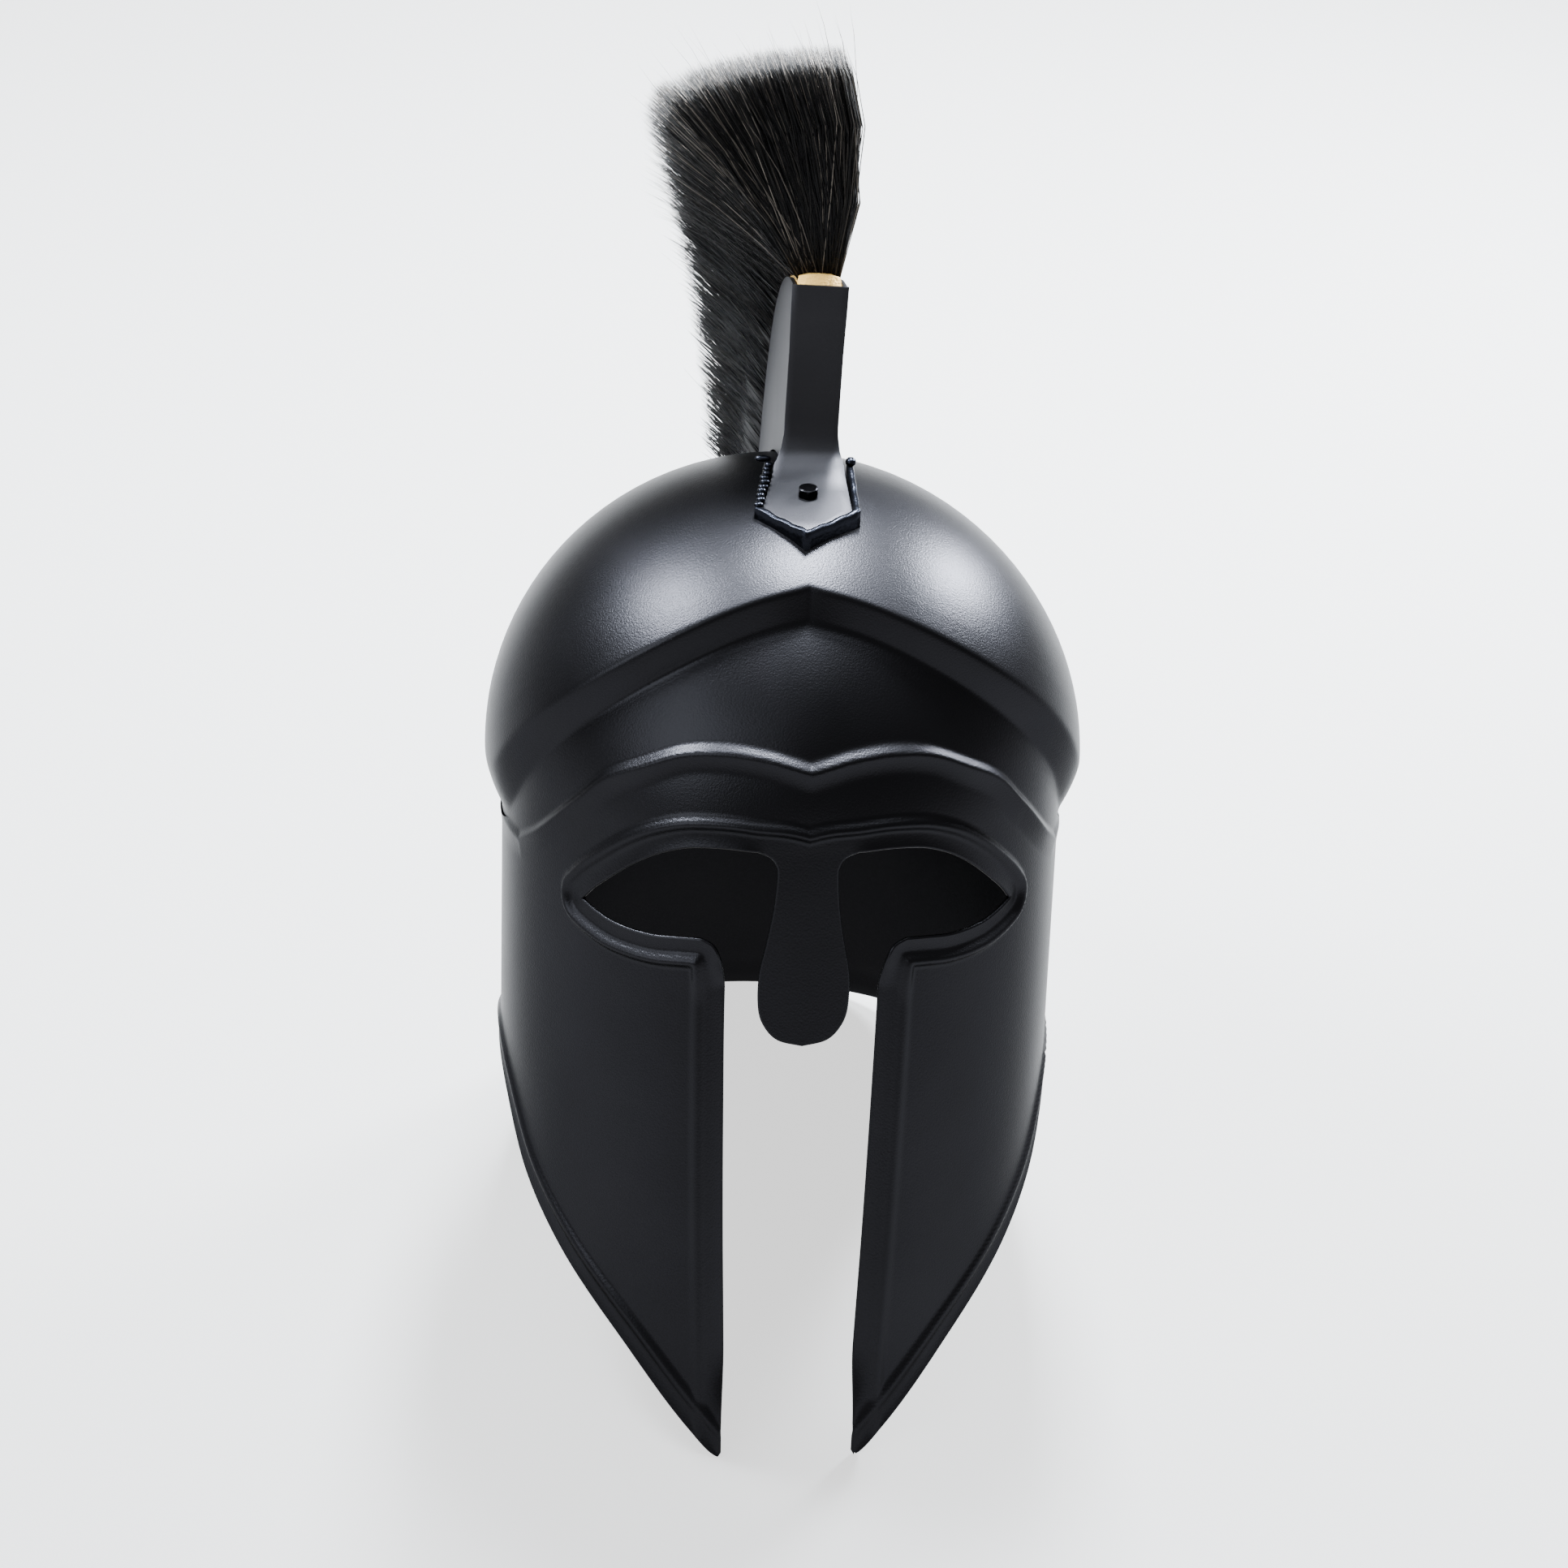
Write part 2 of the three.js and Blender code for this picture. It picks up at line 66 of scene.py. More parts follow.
SHEET = 1.5
MASK = {"half": 103.0, "front": 108.0, "back": 128.0, "crown": 97.0}
DOME = {"half": 109.5, "front": 122.0, "back": 136.0, "crown": 105.0}
ARC = math.radians(1) * 0.5 * (MASK["half"] + MASK["front"])  # mm of wall for each degree round
CREASE = {"peak": 81.0, "fall": 0.0139, "point": 1.5, "point_width": 5.0, "level": -4.0, "easing": 10.0}
BEVEL = {"front": 12.5, "more_at_sides": 6.0}
KEEL = {"height": 1.4, "width": 9.0, "low": -5, "high": 25}
NECK = {"flare": 14.0, "from": 95, "to": 160, "top": -60.0, "drop": 97.0, "bend": 1.6}


def ease(x, start, end):
    """Smooth step: 0 at start, 1 at end, with level ends."""
    t = np.clip((x - start) / (end - start), 0.0, 1.0)
    return t * t * (3.0 - 2.0 * t)


def through(rows, at):
    """Cubic Hermite curve through rows of (place, value), each slope taken from its neighbours."""
    x, y = np.array(rows, float).T
    slope = np.empty_like(y)
    slope[1:-1] = (y[2:] - y[:-2]) / (x[2:] - x[:-2])
    slope[0] = (y[1] - y[0]) / (x[1] - x[0])
    slope[-1] = (y[-1] - y[-2]) / (x[-1] - x[-2])
    i = np.clip(np.searchsorted(x, at, side="right") - 1, 0, len(x) - 2)
    span = x[i + 1] - x[i]
    u = np.clip((at - x[i]) / span, 0.0, 1.0)
    return ((2 * u**3 - 3 * u**2 + 1) * y[i] + (u**3 - 2 * u**2 + u) * span * slope[i]
            + (3 * u**2 - 2 * u**3) * y[i + 1] + (u**3 - u**2) * span * slope[i + 1])


def egg(body, angle, z, inset=0.0):
    """Point on an egg: each level is two half ellipses, which shrink above z = 0 as a circle's
    chord does."""
    turn = np.radians(angle)
    ring = np.where(z > 0, np.sqrt(np.maximum(0.0, 1 - (z / (body["crown"] - inset)) ** 2)), 1.0)
    deep = np.where(np.cos(turn) > 0, body["front"], body["back"]) - inset
    half = body["half"] - inset
    return np.stack([half * ring * np.sin(turn), -deep * ring * np.cos(turn), z + 0 * turn], -1)


def crease_height(angle):
    """A parabola falling from the peak, eased into a level line round the sides and back."""
    a = np.abs(angle)
    falling = CREASE["peak"] - CREASE["fall"] * a**2 + CREASE["point"] * np.exp(-a / CREASE["point_width"])
    gap = falling - CREASE["level"]
    return 0.5 * (falling + CREASE["level"] + np.sqrt(gap**2 + CREASE["easing"] ** 2))


def bevel_foot(angle):
    """Where the overhang meets the mask: below the crease by a depth that grows to the sides."""
    return crease_height(angle) - BEVEL["front"] - BEVEL["more_at_sides"] * ease(np.abs(angle), 0, 90)


def mask_wall(angle, z, proud=0.0):
    """Mask egg pushed out by proud, with a faint keel up the brow and a flare round the neck."""
    point = egg(MASK, angle, z, -proud)
    a, turn = np.abs(angle), np.radians(angle)
    keel = KEEL["height"] * np.exp(-(a / KEEL["width"]) ** 2) * ease(z, KEEL["low"], KEEL["high"])
    drop = np.maximum(0.0, (NECK["top"] - z) / NECK["drop"])
    flare = NECK["flare"] * ease(a, NECK["from"], NECK["to"]) * drop ** NECK["bend"]
    point[..., 0] += flare * np.sin(turn)
    point[..., 1] -= (keel + flare) * np.cos(turn)
    return point


# The lower edge as (angle round from the front, height): cheek tip, ear notch, neck guard.
LOWER_EDGE = [(0, -239), (14, -239), (20, -229.5), (36, -198), (54, -170), (66, -151), (78, -128),
              (90, -117.5), (102, -123), (114, -142), (126, -154), (150, -157), (180, -157)]

# The helmet leans back on its two cheek tips and the neck guard's rear edge.
tip = mask_wall(np.array(14.0), np.array(-239.0))
rear = mask_wall(np.array(180.0), np.array(-157.0))
tilt = math.atan2(rear[2] - tip[2], rear[1] - tip[1])
LEAN = np.array([[1, 0, 0],
                 [0, math.cos(tilt), math.sin(tilt)],
                 [0, -math.sin(tilt), math.cos(tilt)]])
dome_rear = math.hypot(DOME["back"] * math.cos(tilt), DOME["crown"] * math.sin(tilt))
shell_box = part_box("helmet_shell")
STAND = np.array([0.0, shell_box[1][1] * 1000 - dome_rear, -(LEAN @ tip)[2]])


def stand(points):
    """Millimetres in the wearer's frame to metres in the frame that the helmet rests in."""
    return (np.asarray(points) @ LEAN.T + STAND) / 1000.0


def build(name, points, faces, slot, node, smooth=True):
    """Makes a mesh piece of triangles from millimetre points and hangs it on the frame."""
    mesh = bpy.data.meshes.new(name)
    faces = np.asarray(faces, np.int32)
    mesh.vertices.add(len(points))
    mesh.vertices.foreach_set("co", stand(points).astype(np.float32).ravel())
    mesh.loops.add(faces.size)
    mesh.loops.foreach_set("vertex_index", faces.ravel())
    mesh.polygons.add(len(faces))
    mesh.polygons.foreach_set("loop_start", np.arange(0, faces.size, faces.shape[1], dtype=np.int32))
    mesh.polygons.foreach_set("use_smooth", np.full(len(faces), smooth))
    mesh.update(calc_edges=True)
    mesh.validate()
    piece = bpy.data.objects.new(name, mesh)
    bpy.context.collection.objects.link(piece)
    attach(piece, "root")
    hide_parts(node)
    return piece


def sheet_faces(rows, columns, closed=False):
    """Two triangles for each cell of a grid of points, row after row, outward for rows going down."""
    r, c = np.meshgrid(np.arange(rows - 1), np.arange(columns if closed else columns - 1), indexing="ij")
    a = r * columns + c
    b = r * columns + (c + 1) % columns
    low_a, low_b = a + columns, b + columns
    return np.concatenate([np.stack([a, low_a, low_b], -1).reshape(-1, 3),
                           np.stack([a, low_b, b], -1).reshape(-1, 3)])


# ---------------------------------------------------------------------------
# Satin black paint, the finish of the shell, the collar and the crest holder.
# A powder coat baked on the steel: near black, softly glossy, with a fine grain that breaks
# up the highlights and a little dust in broad random patches.

def fine_grain():
    """Node group: fine noise as a height, and a broad slow noise as a mask."""
    group = bpy.data.node_groups.new("fine_grain", "ShaderNodeTree")
    group.interface.new_socket("Scale", in_out="INPUT", socket_type="NodeSocketFloat")
    group.interface.new_socket("Height", in_out="OUTPUT", socket_type="NodeSocketFloat")
    group.interface.new_socket("Cloud", in_out="OUTPUT", socket_type="NodeSocketFloat")
    nodes, links = group.nodes, group.links
    inputs, outputs = nodes.new("NodeGroupInput"), nodes.new("NodeGroupOutput")
    place = nodes.new("ShaderNodeTexCoord")
    grain = nodes.new("ShaderNodeTexNoise")
    grain.inputs["Detail"].default_value = 2.0
    cloud = nodes.new("ShaderNodeTexNoise")
    cloud.inputs["Scale"].default_value = 22.0
    cloud.inputs["Detail"].default_value = 3.0
    links.new(place.outputs["Object"], grain.inputs["Vector"])
    links.new(place.outputs["Object"], cloud.inputs["Vector"])
    links.new(inputs.outputs["Scale"], grain.inputs["Scale"])
    links.new(grain.outputs["Fac"], outputs.inputs["Height"])
    links.new(cloud.outputs["Fac"], outputs.inputs["Cloud"])
    return group


GRAIN = fine_grain()


def coat(name, dark, light, rough_low, rough_high, grain_scale, grain_depth, metal=0.0, edge=1.0):
    """Paint whose colour and roughness drift between two values, over a fine bumped grain. An
    edge tint below one keeps it from paling at a low angle."""
    material = bpy.data.materials.new(name)
    material.use_nodes = True
    nodes, links = material.node_tree.nodes, material.node_tree.links
    shader = nodes["Principled BSDF"]
    shader.inputs["Metallic"].default_value = metal
    shader.inputs["Specular Tint"].default_value = (edge, edge, edge, 1)
    effect = nodes.new("ShaderNodeGroup")
    effect.node_tree = GRAIN
    effect.inputs["Scale"].default_value = grain_scale
    tint = nodes.new("ShaderNodeMix")
    tint.data_type = "RGBA"
    tint.inputs[6].default_value = (*dark, 1)
    tint.inputs[7].default_value = (*light, 1)
    rough = nodes.new("ShaderNodeMapRange")
    rough.inputs["To Min"].default_value = rough_low
    rough.inputs["To Max"].default_value = rough_high
    bump = nodes.new("ShaderNodeBump")
    bump.inputs["Strength"].default_value = 1.0
    bump.inputs["Distance"].default_value = grain_depth
    links.new(effect.outputs["Cloud"], tint.inputs[0])
    links.new(tint.outputs[2], shader.inputs["Base Color"])
    links.new(effect.outputs["Cloud"], rough.inputs["Value"])
    links.new(rough.outputs["Result"], shader.inputs["Roughness"])
    links.new(effect.outputs["Height"], bump.inputs["Height"])
    links.new(bump.outputs["Normal"], shader.inputs["Normal"])
    return material


black_paint = coat("satin_black_paint", (0.008, 0.008, 0.009), (0.012, 0.012, 0.0138), 0.31, 0.38,
                   grain_scale=1500.0, grain_depth=0.00009, metal=1.0, edge=0.53)
inside_paint = coat("thin_black_inside", (0.006, 0.006, 0.007), (0.013, 0.013, 0.014), 0.5, 0.65,
                    grain_scale=900.0, grain_depth=0.00005, metal=1.0, edge=0.55)
lacquer = coat("black_lacquer", (0.006, 0.007, 0.010), (0.014, 0.015, 0.020), 0.2, 0.38,
               grain_scale=700.0, grain_depth=0.00015, metal=1.0, edge=0.55)
# The holder's coat is a lighter copy of the black paint: a painted reflection on its foot and walls.
holder_coat_painted_reflection = coat("holder_black_with_painted_reflection", (0.020, 0.020, 0.022), (0.030, 0.030, 0.034), 0.44, 0.52,
                   grain_scale=1500.0, grain_depth=0.00005, metal=1.0, edge=0.5)

# ---------------------------------------------------------------------------
# The dome, its crease and the overhang under it.
# The sheet runs down from the crown, turns over a softened crease and curls back under it to
# the mask. The lowest rows tuck just behind the mask's own skin.

TURNS = np.arange(-180.0, 180.0, 1.0)


def dome_meridians(inset):
    """Rows of points down every meridian: dome by latitude, then an overhang that closes on the
    mask partly in proportion to its depth and partly with its square, then the mask wall. The
    corners are softened by averaging each row with its neighbours."""
    crease, foot = crease_height(TURNS), bevel_foot(TURNS)
    top = np.arcsin(np.minimum(1, crease / (DOME["crown"] - inset)))
    rows = []
    for share in np.concatenate([np.linspace(0.02, 0.86, 26), np.linspace(0.875, 1.0, 13)]):
        latitude = math.pi / 2 + (top - math.pi / 2) * share
        rows.append(egg(DOME, TURNS, (DOME["crown"] - inset) * np.sin(latitude), inset))
    lip, root = rows[-1], mask_wall(TURNS, foot, -inset)
    for s in np.linspace(0, 1, 19)[1:]:
        row = lip + (root - lip) * (0.55 * s + 0.45 * s**2)
        row[:, 2] = crease + (foot - crease) * s
        rows.append(row)
    for down in np.arange(0.8, 5.7, 0.8):
        rows.append(mask_wall(TURNS, foot - down, -inset))
    grid = np.array(rows)
    for _ in range(4):
        grid[28:-1] = 0.25 * grid[27:-2] + 0.5 * grid[28:-1] + 0.25 * grid[29:]
    grid[-3:] = mask_wall(TURNS[None], np.stack([foot - 4.0, foot - 4.8, foot - 5.6]), -inset - 0.1)
    return grid


grid = dome_meridians(0.0)
rows, columns = grid.shape[:2]
crown = [[0, 0, DOME["crown"]]]
points = np.concatenate([grid.reshape(-1, 3), crown])
ring = np.arange(columns)
cap = np.stack([np.full(columns, rows * columns), ring, (ring + 1) % columns], -1)
dome = build("dome", points, np.concatenate([sheet_faces(rows, columns, closed=True), cap]),
             "black_paint", "helmet_shell")
dome.data.materials.append(black_paint)

# ---------------------------------------------------------------------------
# The mask: forehead, brow ridge, eye openings, nasal, cheek plates and neck guard.
# Raised from the same sheet. A bead is chased at a steady distance from every open edge, and a
# stronger ridge over the brow dips to a notch above the nose.

# Half of the face opening, as (distance from the middle, height) seen from the front.
GAP_EDGE = [(23.3, -262), (24.4, -207), (26.5, -142), (27.9, -79), (28.2, -52)]
INNER_CORNER = [(28.2, -52), (28.8, -43.5), (31, -38.2), (35.4, -35.8)]
LOWER_LID = [(35.4, -35.8), (43, -36.5), (53, -37.6), (64, -36.8), (71, -34.4), (75.3, -32)]
UPPER_LID = [(75.3, -32), (70.7, -25.5), (61.7, -16), (54, -9.7), (47, -5.7), (39, -3), (28, -2),
             (17.4, -2.5)]
NASAL_SIDE = [(17.4, -2.5), (13.2, -4.3), (11.2, -7.1), (10.6, -11), (11.5, -23), (13.5, -35), (15.8, -47),
              (16, -58.5), (14.2, -66), (9, -72), (0, -74.3)]
NASAL_ROOT = [(17.4, -2.5), (8, -3), (0, -5)]
CHIN = [[0, -262]]


def flowing(rows, count=8):
    """Catmull-Rom curve through the rows, returned on the unrolled wall as (arc, height)."""
    p = np.array(rows, float)
    p = np.concatenate([[2 * p[0] - p[1]], p, [2 * p[-1] - p[-2]]])
    u = np.linspace(0, 1, count, endpoint=False)[:, None, None]
    a, b, c, d = p[:-3], p[1:-2], p[2:-1], p[3:]
    curve = 0.5 * (2 * b + (c - a) * u + (2 * a - 5 * b + 4 * c - d) * u**2
                   + (3 * b - a - 3 * c + d) * u**3)
    curve = np.concatenate([curve.transpose(1, 0, 2).reshape(-1, 2), p[-2:-1]])
    arc = ARC * np.degrees(np.arcsin(curve[:, 0] / MASK["half"]))
    return np.stack([arc, curve[:, 1]], -1)


def distance(arc, z, line):
    """Distance from each point of the unrolled wall to a line of straight pieces."""
    best = np.full(arc.shape, 1e9)
    for (ax, az), (bx, bz) in zip(line[:-1], line[1:]):
        dx, dz = bx - ax, bz - az
        along = np.clip(((arc - ax) * dx + (z - az) * dz) / (dx * dx + dz * dz + 1e-12), 0, 1)
        best = np.minimum(best, (arc - ax - along * dx) ** 2 + (z - az - along * dz) ** 2)
    return np.sqrt(best)


def inside(arc, z, outline):
    """True where a point lies inside a closed outline, by counting crossings to one side."""
    odd = np.zeros(arc.shape, bool)
    for (ax, az), (bx, bz) in zip(outline, np.roll(outline, -1, 0)):
        if az != bz:
            crosses = (az > z) != (bz > z)
            odd ^= crosses & (arc < (bx - ax) * (z - az) / (bz - az) + ax)
    return odd


eye_side = [flowing(GAP_EDGE), flowing(INNER_CORNER), flowing(LOWER_LID), flowing(UPPER_LID)]
opening = np.concatenate(eye_side + [flowing(NASAL_SIDE)])
plain_opening = np.concatenate(eye_side + [flowing(NASAL_ROOT)])
edge_turns = np.linspace(0, 180, 240)
lower_line = np.stack([ARC * edge_turns, through(LOWER_EDGE, edge_turns)], -1)


def wall_field(arc, z):
    """Signed distance to the steel's edges, positive on the steel, and to the edges that a bead
    follows, which ignore the nasal. The wall is mirrored, so only its right half is measured."""
    a = np.abs(arc)
    closed = np.concatenate([opening, CHIN])
    plain = np.concatenate([plain_opening, CHIN])
    face = distance(a, z, opening) * np.where(inside(a, z, closed), -1, 1)
    low = distance(a, z, lower_line) * np.where(z < through(LOWER_EDGE, a / ARC), -1, 1)
    bead = distance(a, z, plain_opening) * np.where(inside(a, z, plain), -1, 1)
    return np.minimum(face, low), bead, low


# Upper edge of the brow ridge: (distance from the middle, height).
BROW = [(0, 28.6), (6, 30.2), (14, 32), (27.8, 33), (42, 31), (56, 24.5), (68, 17), (78, 5), (90, -12),
        (97, -22)]
RIDGE = {"height": 2.9, "foot": 9.5, "run": 7.3}
BORDER = {"cheek": 0.8, "eye_more": 1.5, "lower": 1.35, "lip_width": 6.0}
FLANGE = {"depth": 5.0, "width": 7.5}


def brow_ridge(arc, z):
    """Ridge hung from its upper edge: a steep ledge, a rounded top and a hollow slope below."""
    a = np.abs(arc)
    line = np.array(BROW, float)
    level_half = MASK["half"] * np.sqrt(1 - np.clip(line[:, 1] / MASK["crown"], 0, 1) ** 2)
    turns = np.degrees(np.arcsin(np.clip(line[:, 0] / level_half, 0, 1)))
    along = np.stack([ARC * turns, line[:, 1]], -1)
    top = through(along, a)
    slope = (through(along, a + 1) - through(along, a - 1)) / 2
    depth = (top - z) / np.sqrt(1 + slope**2)
    ledge = ease(depth, -1.6, 2.2)
    slope_down = np.clip((RIDGE["foot"] - depth) / RIDGE["run"], 0, 1) ** 1.6
    fade = 1 - 0.75 * ease(a / ARC, 48, 74)
    return RIDGE["height"] * ledge * slope_down * fade


def relief(arc, z, bead, low):
    """Height of the chased work: beads 9 mm in from the edges, a slight lip at the edges, the
    brow ridge, and a flange turned in along the gap between the cheek plates."""
    a = np.abs(arc)
    flange = ease(z, -40, -56) * ease(z, -228, -196) * ease(a, 44, 38) * ease(a, 18, 20)

    def border(d, height):
        lip = np.clip(1 - d / BORDER["lip_width"], 0, 1) ** 2 * (d > 0) * ease(a, 14, 24)
        return height * ease(d, 12.2, 9.2) * ease(d, 5.6, 8.9) + lip * (1 - flange)

    height = BORDER["cheek"] + BORDER["eye_more"] * ease(z, -62, -44)
    turned_in = -FLANGE["depth"] * np.clip(1 - bead / FLANGE["width"], 0, 1.3) ** 1.2 * flange
    return np.maximum(border(bead, height), border(low, BORDER["lower"])) + brow_ridge(arc, z) + turned_in


def clip_mesh(points, faces, keep):
    """Cuts triangles along keep = 0, with straight crossings on their edges. Returns the points
    with the new ones, and the faces of the part where keep is positive."""
    side = keep[faces] > 0
    count = side.sum(1)
    whole = faces[count == 3]
    odd_one = np.where(count == 1, np.argmax(side, 1), np.argmin(side, 1))
    cut = (count == 1) | (count == 2)
    turned = np.stack([faces[np.arange(len(faces)), (odd_one + k) % 3] for k in range(3)], -1)[cut]
    count = count[cut]
    pairs = np.concatenate([turned[:, [0, 1]], turned[:, [0, 2]]])
    keys, index = np.unique(np.sort(pairs, 1), axis=0, return_inverse=True)
    index = index.reshape(-1)
    a, b = keys[:, 0], keys[:, 1]
    share = (keep[a] / (keep[a] - keep[b]))[:, None]
    crossing = points[a] + (points[b] - points[a]) * share
    first = len(points) + index[:len(turned)]
    second = len(points) + index[len(turned):]
    lone, pair = count == 1, count == 2
    tips = np.stack([turned[lone, 0], first[lone], second[lone]], -1)
    stubs = np.concatenate([
        np.stack([first[pair], turned[pair, 1], turned[pair, 2]], -1),
        np.stack([first[pair], turned[pair, 2], second[pair]], -1)])
    return np.concatenate([points, crossing]), np.concatenate([whole, tips, stubs])


def used_only(points, faces):
    """Drops the points that no face uses."""
    kept, index = np.unique(faces, return_inverse=True)
    return points[kept], index.reshape(faces.shape)


def mask_plan(step, edge_in):
    """Triangles of the unrolled mask as (arc, height), cut to the steel's outline less edge_in
    and to the line just under the overhang. Steps grow away from the face."""
    front = np.arange(-78, 78.01, step / ARC)
    back = np.arange(78, 282.01, max(1.5, 1.2 * step / ARC))[1:-1]
    turns = np.concatenate([front, back])
    heights = np.concatenate([np.arange(72, 44, -1.6 * step), np.arange(44, -62, -step),
                              np.arange(-62, -243, -1.7 * step)])
    h, t = np.meshgrid(heights, turns, indexing="ij")
    plan = np.stack([t.ravel(), h.ravel()], -1)
    faces = sheet_faces(len(heights), len(turns), closed=True)
    wrapped = np.where(plan[:, 0] > 180, plan[:, 0] - 360, plan[:, 0])
    under_dome = bevel_foot(wrapped) - 3.2 - plan[:, 1]
    keep = np.minimum(wall_field(ARC * wrapped, plan[:, 1])[0] - edge_in, under_dome)
    plan_3 = np.stack([np.cos(np.radians(plan[:, 0])), np.sin(np.radians(plan[:, 0])), plan[:, 1]], -1)
    cut_points, cut_faces = clip_mesh(plan_3, faces, keep)
    cut_points, cut_faces = used_only(cut_points, cut_faces)
    turn = np.degrees(np.arctan2(cut_points[:, 1], cut_points[:, 0]))
    return turn, cut_points[:, 2], cut_faces


EDGE = 0.75  # half of the sheet, for its rounded edge
turn, height, faces = mask_plan(0.85, EDGE)
_, bead, low = wall_field(ARC * turn, height)
proud = relief(ARC * turn, height, bead, low)
points = mask_wall(turn, height, proud)
mask = build("mask", points, faces, "black_paint", "helmet_shell")
mask.data.materials.append(black_paint)


def open_edges(faces):
    """Directed edges that only one triangle uses."""
    edges = np.concatenate([faces[:, [0, 1]], faces[:, [1, 2]], faces[:, [2, 0]]])
    keys, index, counts = np.unique(np.sort(edges, 1), axis=0, return_inverse=True, return_counts=True)
    return edges[counts[index.reshape(-1)] == 1]


# The sheet's edge, rounded over all along every open border of the mask.
border_edges = open_edges(faces)
under_dome = height > bevel_foot(turn) - 4.0
border_edges = border_edges[~(under_dome[border_edges].all(1))]
ids, index = np.unique(border_edges, return_inverse=True)
index = index.reshape(border_edges.shape)
t, z = turn[ids], height[ids]
probe = 0.05
out_arc = -(wall_field(ARC * t + probe, z)[0] - wall_field(ARC * t - probe, z)[0])
out_z = -(wall_field(ARC * t, z + probe)[0] - wall_field(ARC * t, z - probe)[0])
norm = np.hypot(out_arc, out_z) + 1e-9
out_arc, out_z = out_arc / norm, out_z / norm
bends = np.radians([0, 36, 72, 108, 144, 180])
rim_rows = [mask_wall(t + EDGE * math.sin(b) * out_arc / ARC, z + EDGE * math.sin(b) * out_z,
                      proud[ids] - EDGE * (1 - math.cos(b))) for b in bends]
count = len(ids)
steps = len(bends)
rim_points = np.concatenate(rim_rows)
level = np.arange(steps - 1)[:, None] * count
a, b = level + index[:, 0], level + index[:, 1]
rim_faces = np.concatenate([np.stack([b, a, a + count], -1).reshape(-1, 3),
                            np.stack([b, a + count, b + count], -1).reshape(-1, 3)])
rim = build("mask_edge", rim_points, rim_faces, "black_paint", "helmet_shell")
rim.data.materials.append(black_paint)

# The inside of the shell, a plainer skin one sheet further in.
turn, height, faces = mask_plan(2.4, EDGE)
_, bead, low = wall_field(ARC * turn, height)
inside_points = mask_wall(turn, height, relief(ARC * turn, height, bead, low) - SHEET)
mask_inside = build("mask_inside", inside_points, faces[:, ::-1], "black_paint", "helmet_shell")
mask_inside.data.materials.append(inside_paint)
grid = dome_meridians(SHEET)[::2]
rows, columns = grid.shape[:2]
crown = [[0, 0, DOME["crown"] - SHEET]]
points = np.concatenate([grid.reshape(-1, 3), crown])
ring = np.arange(columns)
cap = np.stack([np.full(columns, rows * columns), ring, (ring + 1) % columns], -1)
inside_faces = np.concatenate([sheet_faces(rows, columns, closed=True), cap])[:, ::-1]
dome_inside = build("dome_inside", points, inside_faces, "black_paint", "helmet_shell")
dome_inside.data.materials.append(inside_paint)

# ---------------------------------------------------------------------------
# The collar on the dome.
# A strip of the same steel on edge, bent to five sides, open at the rear and welded down to
# the dome. Seen from the front, its left arm carries a row of small weld beads, and both its
# ends a larger lump.

BEND = {"x": 5.8, "y": -5.0, "z": 109.1}
FOOT = {"skew": -5.8, "slope": 12.3, "tip": -54.0, "corner": -38.5, "corner_half": 15.6, "rear_half": 12.8}
COLLAR = {"wall": 2.4, "gap": 0.5, "rise": 1.0, "rear": -3.0}
CREST = {"yaw": -1.5, "lean": 1.7}


def frame_at_bend(yaw, about_x, about_y):
    """Rotation turned by yaw about z, then tipped about x and y, all in degrees."""
    z, x, y = (math.radians(v) for v in (yaw, about_x, about_y))
    turn = np.array([[math.cos(z), -math.sin(z), 0], [math.sin(z), math.cos(z), 0], [0, 0, 1]])
    pitch = np.array([[1, 0, 0], [0, math.cos(x), -math.sin(x)], [0, math.sin(x), math.cos(x)]])
    lean = np.array([[math.cos(y), 0, math.sin(y)], [0, 1, 0], [-math.sin(y), 0, math.cos(y)]])
    return turn @ pitch @ lean


FOOT_TURN = frame_at_bend(FOOT["skew"], FOOT["slope"], 0.0)
CREST_TURN = frame_at_bend(CREST["yaw"], 0.0, CREST["lean"])
BEND_AT = np.array([BEND["x"], BEND["y"], BEND["z"]])


def in_foot(points):
    """Points of the foot's frame, -y running down to its tip, in the wearer's frame."""
    return np.asarray(points) @ FOOT_TURN.T + BEND_AT


def in_crest(points):
    """Points of the crest's frame, y back along the channel and z up, in the wearer's frame."""
    return np.asarray(points) @ CREST_TURN.T + BEND_AT


def dome_height(x, y):
    """Height of the dome's outside over a place on its plan, and far below beyond its rim."""
    deep = np.where(y < 0, DOME["front"], DOME["back"])
    left = 1 - (x / DOME["half"]) ** 2 - (y / deep) ** 2
    return np.where(left > 0.0, DOME["crown"] * np.sqrt(np.maximum(left, 0.0)), -60.0)


def foot_outline(margin, rear):
    """The foot's five-sided outline, grown by a margin, from its rear left round the tip."""
    half, rear_half = FOOT["corner_half"] + margin, FOOT["rear_half"] + margin
    corner, tip_at = FOOT["corner"] - 0.5 * margin, FOOT["tip"] - 1.2 * margin
    return np.array([(-rear_half, rear), (-half, corner), (0, tip_at), (half, corner),
                     (rear_half, rear)], float)


